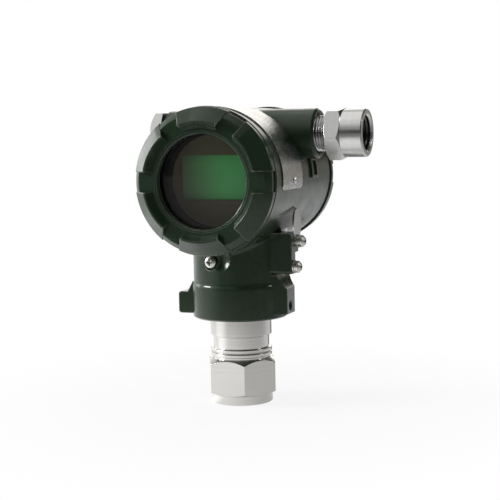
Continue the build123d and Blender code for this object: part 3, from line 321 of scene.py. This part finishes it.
def tool_lines_group():
    """Fine parallel lines left by a tool, from a position across the lines."""
    group, given, result = new_group(
        "Tool lines", [("Position", 0.0), ("Spacing", 0.00022), ("Wander", 0.35)],
        [("Height", "NodeSocketFloat"), ("Shade", "NodeSocketFloat")])
    place = maths(group, "DIVIDE", given["Position"], given["Spacing"])
    lines = noise_along(group, place, 2.0)
    smear = noise(group, place_in_metres(group), 160.0, 2.0)
    drift = maths(group, "MULTIPLY", smear, given["Wander"])
    group.links.new(maths(group, "ADD", lines, drift), result["Height"])
    broad = noise_along(group, maths(group, "MULTIPLY", place, 0.16), 3.0)
    group.links.new(remap(group, broad, 0.3, 0.7, 0.0, 1.0), result["Shade"])
    return group


def smudges_group():
    """Soft blotches of handling and dust, and small specks."""
    group, given, result = new_group(
        "Smudges", [("Size", 0.012), ("Speck size", 0.0006)],
        [("Smudge", "NodeSocketFloat"), ("Specks", "NodeSocketFloat")])
    point = place_in_metres(group)
    soft = noise(group, point, maths(group, "DIVIDE", 1.0, given["Size"]), 4.0, distortion=0.6)
    specks = noise(group, point, maths(group, "DIVIDE", 1.0, given["Speck size"]), 1.0)
    group.links.new(remap(group, soft, 0.38, 0.68, 0.0, 1.0), result["Smudge"])
    group.links.new(remap(group, specks, 0.66, 0.74, 0.0, 1.0), result["Specks"])
    return group


def use_group(tree, name, inputs):
    """Outputs of a shared group placed in a material, with the material's own values."""
    return add_node(tree, "ShaderNodeGroup", inputs, node_tree=bpy.data.node_groups[name]).outputs


def edges_and_marks(tree, radius, smudge, speck):
    """Outputs of the shared edge mask and of the smudges, at a material's own sizes."""
    edges = use_group(tree, "Edge mask", {"Radius": radius})
    marks = use_group(tree, "Smudges", {"Size": smudge, "Speck size": speck})
    return edges, marks


def socket_names(values):
    """The same values under the Principled shader's own names for its sockets."""
    return {
        key.replace("_", " ").title().replace("Ior", "IOR"): value
        for key, value in values.items()}


def new_material(name, **plain):
    """Material with one Principled shader whose plain values are set on its own sockets."""
    material = bpy.data.materials.new(name)
    material.use_nodes = True
    tree = material.node_tree
    tree.nodes.clear()
    shader = add_node(tree, "ShaderNodeBsdfPrincipled")
    feed(tree, shader.inputs, socket_names(plain))
    end = add_node(tree, "ShaderNodeOutputMaterial", {"Surface": shader.outputs[0]})
    return material, tree, shader, end


def new_metal(name):
    """Material set for bare metal."""
    return new_material(name, metallic=1.0, ior=METAL_IOR)


def join(tree, shader, **sources):
    """Link outputs to the Principled shader's inputs, named in lower case."""
    feed(tree, shader.inputs, socket_names(sources))


def bump(tree, height, strength, distance, normal=None):
    """Normal with the height's relief, over a given normal or the surface's own."""
    inputs = {"Height": height, "Strength": strength, "Distance": distance}
    if normal is not None:
        inputs["Normal"] = normal
    return add_node(tree, "ShaderNodeBump", inputs).outputs[0]


def axis_value(tree, axis):
    """One coordinate of the surface point."""
    split = add_node(tree, "ShaderNodeSeparateXYZ", {0: place_in_metres(tree)})
    return split.outputs[axis]


def distance_from_axis(tree, axis, centre):
    """Distance of the surface point from a line along an axis through centre."""
    offset = vector_maths(tree, "SUBTRACT", place_in_metres(tree), centre)["Vector"]
    keep = [0.0 if i == axis else 1.0 for i in range(3)]
    flat = vector_maths(tree, "MULTIPLY", offset, keep)["Vector"]
    return vector_maths(tree, "LENGTH", flat)["Value"]


# Finishes

def green_paint(colours, sizes):
    """Gloss paint over a casting: faint waves, a painted highlight along sharp edges, light
    handling marks.
    """
    dust = (0.12, 0.14, 0.12, 1.0)
    material, tree, shader, _ = new_material(
        "green_paint", ior=1.45, specular_ior_level=0.14, coat_roughness=0.10, coat_ior=1.4)
    waves = use_group(tree, "Paint waves", {"Wave size": sizes.orange_peel, "Grain share": 0.3})
    edges, marks = edges_and_marks(tree, radius=0.4 * MM, smudge=16 * MM, speck=0.7 * MM)
    tone = maths(tree, "MULTIPLY", waves["Tone"], 0.4)
    colour = blend_colour(tree, tone, rgba(colours.paint), rgba(colours.paint_thin))
    # Painted highlight: convex edges, found by occlusion inside the part, are lightened towards the
    # pale edge green
    convex_edges = add_node(tree, "ShaderNodeAmbientOcclusion", {"Distance": 1.2 * MM},
                    inside=True, samples=8)
    edge_lightening = remap(tree, convex_edges.outputs["AO"], 0.80, 0.50, 0.0, 0.60)
    colour = blend_colour(tree, edge_lightening, colour, rgba(colours.paint_edge_highlight))
    dusty = maths(tree, "MULTIPLY", marks["Specks"], 0.04)
    colour = blend_colour(tree, dusty, colour, dust)
    rough = remap(tree, marks["Smudge"], 0.0, 1.0, 0.24, 0.32)
    coat = remap(tree, marks["Smudge"], 0.0, 1.0, 0.80, 0.55)
    normal = bump(tree, waves["Height"], 0.10, 0.05 * MM, edges["Normal"])
    join(tree, shader, base_color=colour, roughness=rough, coat_weight=coat, normal=normal)
    return material


def turned_steel(colours, sizes):
    """Stainless steel turned about the neck axis, with fainter lines on the milled hexagon."""
    steel_edge_highlight = (0.75, 0.74, 0.72, 1.0)
    material, tree, shader, _ = new_metal("turned_steel")
    height = axis_value(tree, "Z")
    lines = use_group(tree, "Tool lines", {"Position": height, "Spacing": sizes.tool_marks})
    edges, marks = edges_and_marks(tree, radius=0.35 * MM, smudge=9 * MM, speck=0.5 * MM)
    turned_part = remap(tree, height, HEXAGON_TOP_Z - 0.5 * MM, HEXAGON_TOP_Z, 0.15, 1.0)
    dull = maths(tree, "MULTIPLY", maths(tree, "MULTIPLY", lines["Shade"], turned_part), 0.30)
    tone = maths(tree, "ADD", dull, maths(tree, "MULTIPLY", marks["Smudge"], 0.10))
    darker = [0.86 * part for part in colours.turned_steel]
    colour = blend_colour(tree, tone, rgba(colours.turned_steel), rgba(darker))
    # Painted highlight: edges are lightened towards a paler steel in place of the shine of their
    # rounding
    colour = blend_colour(tree, maths(tree, "MULTIPLY", edges["Mask"], 0.4), colour, steel_edge_highlight)
    rough = remap(tree, lines["Shade"], 0.0, 1.0, 0.15, 0.20)
    normal = bump(tree, lines["Height"], maths(tree, "MULTIPLY", turned_part, 0.05), 0.006 * MM,
                  edges["Normal"])
    join(tree, shader, base_color=colour, roughness=rough, normal=normal)
    return material


def conduit_steel(name, steel_colour, sizes):
    """Steel turned about the conduit axis, darker inside the adapter's threaded bore, with painted
    shade in its grooves and corners.
    """
    bore_dark = (0.045, 0.043, 0.040, 1.0)
    groove_shade = (0.060, 0.050, 0.038, 1.0)
    material, tree, shader, _ = new_metal(name)
    lines = use_group(tree, "Tool lines", {
        "Position": axis_value(tree, "X"), "Spacing": sizes.tool_marks * 1.4, "Wander": 0.2})
    edges, marks = edges_and_marks(tree, radius=0.3 * MM, smudge=7 * MM, speck=0.5 * MM)
    tone = maths(tree, "MULTIPLY", lines["Shade"], 0.25)
    tone = maths(tree, "ADD", tone, maths(tree, "MULTIPLY", marks["Smudge"], 0.15))
    darker = [0.88 * part for part in steel_colour]
    colour = blend_colour(tree, tone, rgba(steel_colour), rgba(darker))
    # Darker: the surface at the bore's radius, towards the adapter's mouth, is blended towards near
    # black
    from_axis = distance_from_axis(tree, 0, (0.0, ENTRY_Y, ENTRY_Z))
    in_bore = remap(tree, from_axis, ADAPTER_BORE_R - 0.1 * MM, ADAPTER_BORE_R + 0.3 * MM, 0.9, 0.0)
    outward = remap(
        tree, axis_value(tree, "X"), ENTRY_FACE_X + 6 * MM, ENTRY_FACE_X + 8 * MM, 0.0, 1.0)
    colour = blend_colour(tree, maths(tree, "MULTIPLY", in_bore, outward), colour, bore_dark)
    # Painted shade: thread grooves and corners, found by ambient occlusion, are darkened towards
    # near black
    corners = add_node(tree, "ShaderNodeAmbientOcclusion", {"Distance": 1.0 * MM}, samples=6)
    occluded_shade = remap(tree, corners.outputs["AO"], 0.35, 0.80, 0.85, 0.0)
    colour = blend_colour(tree, occluded_shade, colour, groove_shade)
    rough = remap(tree, marks["Smudge"], 0.0, 1.0, 0.16, 0.25)
    normal = bump(tree, lines["Height"], 0.05, 0.005 * MM, edges["Normal"])
    join(tree, shader, base_color=colour, roughness=rough, normal=normal)
    return material


def sheet_steel(name, colours, shine, grain_size, grain_depth, buckle_depth, pebble):
    """Rolled sheet with a fine pebbled finish, a little buckled."""
    material, tree, shader, _ = new_metal(name)
    waves = use_group(tree, "Paint waves", {"Wave size": grain_size, "Grain share": 0.5})
    edges, marks = edges_and_marks(tree, radius=0.2 * MM, smudge=10 * MM, speck=grain_size)
    tone = maths(tree, "MULTIPLY", waves["Tone"], 0.15)
    tone = maths(tree, "ADD", tone, remap(tree, waves["Height"], 0.72, 0.92, 0.0, pebble))
    darker = [0.40 * part for part in colours.polished_steel]
    colour = blend_colour(tree, tone, rgba(colours.polished_steel), rgba(darker))
    rough = remap(tree, marks["Smudge"], 0.0, 1.0, shine, shine + 0.1)
    buckles = noise(tree, place_in_metres(tree), 190.0, 2.0, distortion=1.5)
    buckled = bump(tree, buckles, 0.6, buckle_depth, edges["Normal"])
    normal = bump(tree, waves["Height"], 0.8, grain_depth, buckled)
    join(tree, shader, base_color=colour, roughness=rough, normal=normal)
    return material


def plated_steel():
    """Zinc-plated screw steel, a little mottled, with painted shade in its corners and recesses."""
    zinc = (0.74, 0.73, 0.69, 1.0)
    dull_zinc = (0.58, 0.57, 0.53, 1.0)
    corner_shade = (0.05, 0.05, 0.045, 1.0)
    material, tree, shader, _ = new_metal("plated_steel")
    edges, marks = edges_and_marks(tree, radius=0.25 * MM, smudge=3 * MM, speck=0.4 * MM)
    # Painted shade: corners and recesses, found by ambient occlusion, are darkened towards near
    # black
    corners = add_node(tree, "ShaderNodeAmbientOcclusion", {"Distance": 1.2 * MM}, samples=4)
    colour = blend_colour(tree, marks["Smudge"], zinc, dull_zinc)
    occluded_shade = remap(tree, corners.outputs["AO"], 0.35, 0.85, 1.0, 0.0)
    colour = blend_colour(tree, occluded_shade, colour, corner_shade)
    rough = remap(tree, marks["Smudge"], 0.0, 1.0, 0.30, 0.45)
    normal = bump(tree, marks["Specks"], 0.15, 0.02 * MM, edges["Normal"])
    join(tree, shader, base_color=colour, roughness=rough, normal=normal)
    return material


def blackened_metal():
    """Metal of the retaining ring, blackened, with edges that are rubbed a little."""
    black = (0.020, 0.018, 0.015, 1.0)
    rubbed = (0.12, 0.115, 0.105, 1.0)
    material, tree, shader, _ = new_metal("blackened_metal")
    edges, marks = edges_and_marks(tree, radius=0.2 * MM, smudge=5 * MM, speck=0.6 * MM)
    edge_lightening = maths(tree, "MULTIPLY", edges["Mask"], 0.3)
    colour = blend_colour(tree, edge_lightening, black, rubbed)
    rough = remap(tree, marks["Smudge"], 0.0, 1.0, 0.38, 0.5)
    join(tree, shader, base_color=colour, roughness=rough, normal=edges["Normal"])
    return material


def moulded(name, colour, shine, grain, gloss=0.5):
    """Moulded plastic or rubber with a fine eroded texture."""
    material, tree, shader, _ = new_material(name, ior=1.49, specular_ior_level=gloss)
    waves = use_group(tree, "Paint waves", {"Wave size": grain, "Grain share": 0.6})
    edges, marks = edges_and_marks(tree, radius=0.25 * MM, smudge=8 * MM, speck=0.5 * MM)
    lighter = [min(1.0, part * 1.6 + 0.003) for part in colour]
    tone = maths(tree, "MULTIPLY", waves["Tone"], 0.3)
    tone = maths(tree, "ADD", tone, maths(tree, "MULTIPLY", edges["Mask"], 0.4))
    mixed = blend_colour(tree, tone, rgba(colour), rgba(lighter))
    rough = remap(tree, marks["Smudge"], 0.0, 1.0, shine, shine + 0.12)
    normal = bump(tree, waves["Height"], 0.25, 0.03 * MM, edges["Normal"])
    join(tree, shader, base_color=mixed, roughness=rough, normal=normal)
    return material


def screen_material(colours):
    """Reflective display with painted light: shaded at one side and lit and greener at the other,
    with a faint cloud, and painted shade towards its rim.
    """
    rim_shade = (0.03, 0.06, 0.03, 1.0)
    material, tree, shader, _ = new_material(
        "screen", ior=1.5, roughness=0.35, specular_ior_level=0.08)
    low, high = LCD_BOX
    width, height = high[0] - low[0], high[2] - low[2]
    # Painted light: the colour goes from the shaded to the lit copy across the display
    across = remap(tree, axis_value(tree, "X"), low[0], low[0] + 0.62 * width, -0.1, 0.9)
    cloud = noise(tree, place_in_metres(tree), 60.0, 2.0)
    shift = maths(tree, "ADD", across, maths(tree, "MULTIPLY", cloud, 0.12))
    colour = blend_colour(tree, shift, rgba(colours.screen_shaded_side), rgba(colours.screen_lit_side))
    # Painted shade: darker towards the display's top and bottom rim
    middle_z = (low[2] + high[2]) / 2
    off_middle = maths(tree, "ABSOLUTE", maths(tree, "SUBTRACT", axis_value(tree, "Z"), middle_z))
    rim = remap(tree, off_middle, 0.25 * height, 0.5 * height, 0.0, 0.3)
    colour = blend_colour(tree, rim, colour, rim_shade)
    join(tree, shader, base_color=colour)
    return material


def face_material(colours):
    """Plain face film with a satin grain."""
    material, tree, shader, _ = new_material("face_film", ior=1.5, specular_ior_level=0.1)
    waves = use_group(tree, "Paint waves", {"Wave size": 2.5 * MM, "Grain share": 0.2})
    marks = use_group(tree, "Smudges", {"Size": 14 * MM, "Speck size": 0.9 * MM})
    lighter = [part * 1.12 for part in colours.face]
    colour = blend_colour(tree, waves["Tone"], rgba(colours.face), rgba(lighter))
    rough = remap(tree, marks["Smudge"], 0.0, 1.0, 0.42, 0.52)
    normal = bump(tree, waves["Height"], 0.05, 0.01 * MM)
    join(tree, shader, base_color=colour, roughness=rough, normal=normal)
    return material


def window_glass():
    """Clear thick glass that lets the lamps through."""
    material, tree, shader, end = new_material(
        "window_glass", ior=1.5, roughness=0.0, transmission_weight=1.0, base_color=GLASS_TINT)
    path = add_node(tree, "ShaderNodeLightPath")
    clear = add_node(tree, "ShaderNodeBsdfTransparent", {"Color": GLASS_TINT})
    passing = maths(tree, "MAXIMUM", path.outputs["Is Shadow Ray"], path.outputs["Is Diffuse Ray"])
    mixed = mix_shaders(tree, passing, shader, clear)
    tree.links.new(mixed.outputs[0], end.inputs["Surface"])
    return material


def circuit_board():
    """Green solder mask with copper traces showing faintly through it."""
    mask = (0.012, 0.09, 0.04, 1.0)
    mask_light = (0.016, 0.12, 0.05, 1.0)
    trace = (0.03, 0.2, 0.08, 1.0)
    material, tree, shader, _ = new_material("circuit_board", ior=1.5, roughness=0.35)
    traces = add_node(tree, "ShaderNodeTexBrick", {
        "Vector": place_in_metres(tree), "Scale": 260.0, "Color1": mask, "Color2": mask_light,
        "Mortar": trace, "Mortar Size": 0.03})
    join(tree, shader, base_color=traces.outputs["Color"])
    return material


def finish(nodes, material):
    """Give CAD nodes a finish."""
    for name in nodes:
        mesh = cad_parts[name]
        mesh.data.materials.clear()
        mesh.data.materials.append(material)


# New pieces

def add_object(name, data):
    """Object with the given data, linked to the scene."""
    made = bpy.data.objects.new(name, data)
    bpy.context.scene.collection.objects.link(made)
    return made


def helix_mesh(name, span, root_r, crest_r, pitch, place):
    """Thread ridge along a straight axis; place turns (along, radius, angle) into a point."""
    start, end = span
    turns = (end - start - pitch) / pitch
    count = int(turns * THREAD_STEPS)
    height = crest_r - root_r
    run_out = THREAD_STEPS * THREAD_RUN_OUT
    vertices = []
    for i in range(count + 1):
        angle = 2 * math.pi * i / THREAD_STEPS
        along = start + pitch * i / THREAD_STEPS
        fade = min(1.0, i / run_out, (count - i) / run_out)
        for share, lift in THREAD_PROFILE:
            vertices.append(place(along + share * pitch, root_r + height * fade * lift, angle))
    points = len(THREAD_PROFILE)
    faces = []
    for i in range(count):
        for k in range(points - 1):
            a = i * points + k
            faces.append((a, a + 1, a + points + 1, a + points))
    mesh = bpy.data.meshes.new(name)
    mesh.from_pydata(vertices, [], faces)
    return add_object(name, mesh)


def along_entry(along, radius, angle):
    """Point round the conduit axis."""
    return (along, ENTRY_Y + radius * math.cos(angle), ENTRY_Z + radius * math.sin(angle))


def along_neck(along, radius, angle):
    """Point round the neck axis."""
    return (radius * math.cos(angle), radius * math.sin(angle), along)


# Operators

class TRANSMITTER_OT_groups(bpy.types.Operator):
    """Build the shared surface effects that the finishes use"""

    bl_idname = "transmitter.groups"
    bl_label = "Shared surface effects"

    def execute(self, context):
        for build in (paint_waves_group, edge_mask_group, tool_lines_group, smudges_group):
            build()
        return {"FINISHED"}


class TRANSMITTER_OT_housing(bpy.types.Operator):
    """Paint the housing casting and both covers"""

    bl_idname = "transmitter.housing"
    bl_label = "Painted housing and covers"

    def execute(self, context):
        scene = context.scene
        finish(["housing_casting", "front_cover", "rear_cover"],
               green_paint(scene.transmitter_colours, scene.transmitter_sizes))
        return {"FINISHED"}


class TRANSMITTER_OT_sensor(bpy.types.Operator):
    """Finish the turned sensor body and what it holds"""

    bl_idname = "transmitter.sensor"
    bl_label = "Sensor body"

    def execute(self, context):
        scene = context.scene
        sizes = scene.transmitter_sizes
        steel = turned_steel(scene.transmitter_colours, sizes)
        finish(["sensor_body", "isolating_diaphragm", "pressure_capsule", "capsule_ring"], steel)
        ridge = helix_mesh("process_port_thread", PROCESS_THREAD, PROCESS_BORE_R + THREAD_SUNK,
                           PROCESS_BORE_R - sizes.thread_depth * INNER_CREST_SHARE,
                           sizes.thread_pitch, along_neck)
        ridge.data.materials.append(steel)
        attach(ridge, "sensor")
        return {"FINISHED"}


class TRANSMITTER_OT_adapter(bpy.types.Operator):
    """Finish the conduit adapter and cut its threads"""

    bl_idname = "transmitter.adapter"
    bl_label = "Conduit adapter and threads"

    def execute(self, context):
        scene = context.scene
        sizes = scene.transmitter_sizes
        colours = scene.transmitter_colours
        steel = conduit_steel("adapter_steel", colours.polished_steel, sizes)
        finish(["conduit_adapter"], steel)
        finish(["blanking_plug"], conduit_steel("plug_steel", colours.turned_steel, sizes))
        male = helix_mesh("adapter_male_thread", OUTER_THREAD, ADAPTER_ROOT_R - THREAD_SUNK,
                          ADAPTER_ROOT_R + sizes.thread_depth, sizes.thread_pitch, along_entry)
        female = helix_mesh("adapter_female_thread", INNER_THREAD, ADAPTER_BORE_R + THREAD_SUNK,
                            ADAPTER_BORE_R - sizes.thread_depth * INNER_CREST_SHARE,
                            sizes.thread_pitch, along_entry)
        for ridge in (male, female):
            ridge.data.materials.append(steel)
            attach(ridge, "housing")
        return {"FINISHED"}


class TRANSMITTER_OT_plates(bpy.types.Operator):
    """Finish the nameplate strap and the tag plate"""

    bl_idname = "transmitter.plates"
    bl_label = "Nameplate and tag plate"

    def execute(self, context):
        colours = context.scene.transmitter_colours
        finish(["nameplate"], sheet_steel(
            "strap_steel", colours, shine=0.15, grain_size=0.9 * MM, grain_depth=0.14 * MM,
            buckle_depth=0.5 * MM, pebble=0.5))
        finish(["tag_plate"], sheet_steel(
            "tag_steel", colours, shine=0.20, grain_size=0.6 * MM, grain_depth=0.01 * MM,
            buckle_depth=0.05 * MM, pebble=0.15))
        return {"FINISHED"}


class TRANSMITTER_OT_screws(bpy.types.Operator):
    """Finish every screw, washer and clamp"""

    bl_idname = "transmitter.screws"
    bl_label = "Screws and washers"

    def execute(self, context):
        finish(["tag_washers", "tag_screw", "ground_washers", "ground_screw", "front_lock_washer",
                "front_lock_screw", "rear_lock_washer", "rear_lock_screw", "rotation_set_screw",
                "display_screws", "terminal_clamps", "terminal_screws", "nameplate_rivets"],
               plated_steel())
        return {"FINISHED"}


class TRANSMITTER_OT_seals(bpy.types.Operator):
    """Finish the rubber seals and the window gasket"""

    bl_idname = "transmitter.seals"
    bl_label = "Seals"

    def execute(self, context):
        finish(["neck_seal", "front_cover_seal", "rear_cover_seal", "plug_seal", "glass_gasket"],
               moulded("seal_rubber", (0.010, 0.010, 0.010), 0.55, 0.4 * MM, 0.2))
        return {"FINISHED"}


class TRANSMITTER_OT_display(bpy.types.Operator):
    """Finish the display, its face and the window glass"""

    bl_idname = "transmitter.display"
    bl_label = "Display and window"

    def execute(self, context):
        colours = context.scene.transmitter_colours
        finish(["lcd_panel"], screen_material(colours))
        finish(["face_film"], face_material(colours))
        finish(["display_bezel", "electronics_cup"],
               moulded("black_moulding", (0.011, 0.009, 0.007), 0.5, 0.5 * MM, 0.12))
        finish(["front_glass"], window_glass())
        finish(["glass_ring"], blackened_metal())
        return {"FINISHED"}


class TRANSMITTER_OT_inside(bpy.types.Operator):
    """Finish the boards, the terminal block, the lead and the potted parts"""

    bl_idname = "transmitter.inside"
    bl_label = "Inside pieces"

    def execute(self, context):
        finish(["main_board", "display_board"], circuit_board())
        finish(["terminal_block"],
               moulded("terminal_moulding", (0.02, 0.02, 0.022), 0.45, 0.5 * MM))
        finish(["stem_header", "feedthrough"],
               moulded("potting", (0.02, 0.02, 0.02), 0.35, 1.2 * MM))
        finish(["sensor_lead"], moulded("lead_sheath", (0.05, 0.05, 0.052), 0.5, 0.5 * MM))
        return {"FINISHED"}


# Studio

def camera_matrix():
    """World matrix of the photograph's camera."""
    azimuth = math.radians(CAMERA_AZIMUTH)
    pitch = math.radians(CAMERA_PITCH)
    roll = math.radians(CAMERA_ROLL)
    forward = Vector((
        -math.sin(azimuth) * math.cos(pitch), math.cos(azimuth) * math.cos(pitch), math.sin(pitch)))
    right = Vector((math.cos(azimuth), math.sin(azimuth), 0.0))
    up = right.cross(forward)
    rolled_right = right * math.cos(roll) + up * math.sin(roll)
    rolled_up = up * math.cos(roll) - right * math.sin(roll)
    turn = Matrix((rolled_right, rolled_up, -forward)).transposed().to_4x4()
    return Matrix.Translation(CAMERA_PLACE) @ turn


def soft_light(name, place, width, height, power):
    """Rectangular soft light at place, turned to the object."""
    data = bpy.data.lights.new(name, "AREA")
    data.shape = "RECTANGLE"
    data.size = width
    data.size_y = height
    data.energy = power
    light = add_object(name, data)
    light.location = place
    light.rotation_euler = (Vector(LIGHT_AIM) - Vector(place)).to_track_quat("-Z", "Y").to_euler()


def turned_toward(tree, split, axis, start, full):
    """0 to 1 as one part of a unit direction goes from start to full."""
    return remap(tree, split.outputs[axis], start, full, 0.0, 1.0)


def mirrored_or_through(tree, path):
    """1 for rays that a surface mirrors or that glass lets through."""
    glossy, transmission = path.outputs["Is Glossy Ray"], path.outputs["Is Transmission Ray"]
    return maths(tree, "MAXIMUM", glossy, transmission)


def studio_world(strength):
    """White backdrop, also through glass toward the rear; mirrored, the room of the ROOM_ tones."""
    world = bpy.data.worlds.new("studio")
    world.use_nodes = True
    tree = world.node_tree
    tree.nodes.clear()
    direction = add_node(tree, "ShaderNodeTexCoord").outputs["Generated"]
    split = add_node(tree, "ShaderNodeSeparateXYZ", {0: direction})
    behind = turned_toward(tree, split, "Y", 0.1, 0.7)
    above = turned_toward(tree, split, "Z", 0.42, 0.72)
    leftward = turned_toward(tree, split, "X", -0.45, -0.85)
    rightward = turned_toward(tree, split, "X", -0.30, 0.45)
    raised = turned_toward(tree, split, "Z", 0.06, 0.14)
    far_right = turned_toward(tree, split, "X", 0.06, 0.16)
    high_back = blend_colour(tree, far_right, ROOM_BACK_HIGH, ROOM_BACK_DARK)
    back_room = blend_colour(tree, raised, ROOM_BACK, high_back)
    low_room = blend_colour(tree, behind, ROOM_FRONT, back_room)
    side_room = blend_colour(tree, leftward, low_room, ROOM_LEFT)
    high_room = blend_colour(tree, rightward, ROOM_TOP, ROOM_TOP_RIGHT)
    room_colour = blend_colour(tree, above, side_room, high_room)
    path = add_node(tree, "ShaderNodeLightPath")
    backdrop = turned_toward(tree, split, "Y", 0.0, 0.1)
    through = maths(tree, "MULTIPLY", path.outputs["Is Transmission Ray"], backdrop)
    seen = maths(tree, "MAXIMUM", path.outputs["Is Camera Ray"], through)
    even = add_node(tree, "ShaderNodeBackground", {"Color": WHITE, "Strength": strength})
    room = add_node(tree, "ShaderNodeBackground", {"Color": room_colour, "Strength": 1.0})
    white = add_node(tree, "ShaderNodeBackground", {"Color": WHITE, "Strength": 1.0})
    mirrored = mirrored_or_through(tree, path)
    lit = mix_shaders(tree, mirrored, even, room)
    shown = mix_shaders(tree, seen, lit, white)
    add_node(tree, "ShaderNodeOutputWorld", {"Surface": shown.outputs[0]})
    return world


def mirrored_floor(tree, away):
    """Brightness of the floor as the object mirrors it.

    Near, it is brighter at the left, with a streak at the left in front. Far off it is dim, but for
    the left and the rear. Straight behind the object it has a shade. X and Y are parts of the unit
    direction from the foot, and away is the distance in metres.
    """
    toward = vector_maths(tree, "NORMALIZE", place_in_metres(tree))["Vector"]
    split = add_node(tree, "ShaderNodeSeparateXYZ", {0: toward})
    near_left = remap(tree, split.outputs["X"], -1.0, 0.0, 1.32, 1.07)
    streak = maths(tree, "MULTIPLY", turned_toward(tree, split, "X", -0.58, -0.86),
                   remap(tree, split.outputs["Y"], -0.02, -0.26, 0.0, 0.55))
    near_left = maths(tree, "ADD", near_left, streak)
    near_right = remap(tree, split.outputs["X"], 0.0, 1.0, 0.0, 0.40)
    near = maths(tree, "SUBTRACT", near_left, near_right)
    straight_back = remap(tree, split.outputs["Y"], 0.93, 0.98, 0.0, 0.80)
    own_shade = maths(tree, "MULTIPLY", straight_back, remap(tree, away, 0.35, 0.29, 0.0, 1.0))
    unshaded = maths(tree, "SUBTRACT", 1.0, own_shade)
    near = maths(tree, "MULTIPLY", near, unshaded)
    behind = turned_toward(tree, split, "Y", 0.1, 0.7)
    far_back = remap(tree, away, 0.6, 1.4, 0.65, 0.35)
    far_back = maths(tree, "MAXIMUM", 0.25, maths(tree, "MULTIPLY", behind, far_back))
    far_left = remap(tree, split.outputs["X"], -0.35, -0.75, 0.0, 0.86)
    far = maths(tree, "MAXIMUM", far_back, far_left)
    far = maths(tree, "MULTIPLY", far, unshaded)
    fade = remap(tree, away, FLOOR_NEAR, FLOOR_FAR, 0.0, 1.0)
    change = maths(tree, "MULTIPLY", fade, maths(tree, "SUBTRACT", far, near))
    return maths(tree, "ADD", near, change)


def pale_floor():
    """Pale floor, white to the camera but for the object's shadow, and dark through glass.

    What the object mirrors of it comes from mirrored_floor.
    """
    mesh = bpy.data.meshes.new("floor")
    corners = [
        (x * FLOOR_REACH, y * FLOOR_REACH, 0) for x, y in ((-1, -1), (1, -1), (1, 1), (-1, 1))]
    mesh.from_pydata(corners, [], [(0, 1, 2, 3)])
    floor = add_object("floor", mesh)
    floor.location.z = -FLOOR_DROP
    material, tree, shader, end = new_material(
        "floor", roughness=0.9, base_color=(0.90, 0.90, 0.90, 1.0))
    path = add_node(tree, "ShaderNodeLightPath")
    away = vector_maths(tree, "LENGTH", place_in_metres(tree))["Value"]
    share = remap(tree, away, SHADOW_REACH / 4, SHADOW_REACH, SHADOW_WHITE, 1.0)
    level = mirrored_floor(tree, away)
    for ray, target in (("Is Transmission Ray", ROOM_FRONT[0]), ("Is Camera Ray", 1.0)):
        change = maths(tree, "SUBTRACT", target, level)
        level = maths(tree, "ADD", level, maths(tree, "MULTIPLY", change, path.outputs[ray]))
    white = add_node(tree, "ShaderNodeEmission", {"Color": WHITE, "Strength": level})
    mirrored = mirrored_or_through(tree, path)
    shown = maths(tree, "MAXIMUM", path.outputs["Is Camera Ray"], mirrored)
    mixed = mix_shaders(tree, maths(tree, "MULTIPLY", shown, share), shader, white)
    tree.links.new(mixed.outputs[0], end.inputs["Surface"])
    floor.data.materials.append(material)


class TRANSMITTER_OT_stage(bpy.types.Operator):
    """Set the floor, the soft lights, the backdrop and the camera"""

    bl_idname = "transmitter.stage"
    bl_label = "Studio"

    def execute(self, context):
        scene = context.scene
        studio = scene.transmitter_studio
        pale_floor()
        for name, place, width, height, power in SOFT_LIGHTS:
            soft_light(name, place, width, height, getattr(studio, power))
        scene.world = studio_world(studio.surround)
        scene.view_settings.view_transform = "Standard"
        data = bpy.data.cameras.new("camera")
        data.sensor_width = SENSOR_WIDTH
        data.lens = CAMERA_FOCAL_PIXELS / PHOTO_WIDTH * SENSOR_WIDTH
        data.clip_start = 0.01
        data.clip_end = 20.0
        camera = add_object("camera", data)
        camera.matrix_world = camera_matrix()
        scene.camera = camera
        return {"FINISHED"}


# Panel and registration

PIECE_OPERATORS = (
    TRANSMITTER_OT_groups, TRANSMITTER_OT_housing, TRANSMITTER_OT_sensor, TRANSMITTER_OT_adapter,
    TRANSMITTER_OT_plates, TRANSMITTER_OT_screws, TRANSMITTER_OT_seals, TRANSMITTER_OT_display,
    TRANSMITTER_OT_inside, TRANSMITTER_OT_stage,
)


class TRANSMITTER_PT_panel(bpy.types.Panel):
    """Lists the steps that finish the transmitter"""

    bl_label = "Pressure transmitter"
    bl_idname = "TRANSMITTER_PT_panel"
    bl_space_type = "VIEW_3D"
    bl_region_type = "UI"
    bl_category = "Transmitter"

    def draw(self, context):
        scene = context.scene
        for group in (scene.transmitter_colours, scene.transmitter_sizes, scene.transmitter_studio):
            box = self.layout.box()
            for name in group.__annotations__:
                box.prop(group, name)
        for operator in PIECE_OPERATORS:
            self.layout.operator(operator.bl_idname)


SETTINGS = (TransmitterColours, TransmitterSizes, TransmitterStudio)


def register():
    for kind in SETTINGS + PIECE_OPERATORS + (TRANSMITTER_PT_panel,):
        bpy.utils.register_class(kind)
    bpy.types.Scene.transmitter_colours = PointerProperty(type=TransmitterColours)
    bpy.types.Scene.transmitter_sizes = PointerProperty(type=TransmitterSizes)
    bpy.types.Scene.transmitter_studio = PointerProperty(type=TransmitterStudio)


def unregister():
    del bpy.types.Scene.transmitter_studio
    del bpy.types.Scene.transmitter_sizes
    del bpy.types.Scene.transmitter_colours
    for kind in reversed(SETTINGS + PIECE_OPERATORS + (TRANSMITTER_PT_panel,)):
        bpy.utils.unregister_class(kind)


def main():
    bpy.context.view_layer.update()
    register()
    for operator in PIECE_OPERATORS:
        family, name = operator.bl_idname.split(".")
        getattr(getattr(bpy.ops, family), name)()


if __name__ == "__main__":
    main()
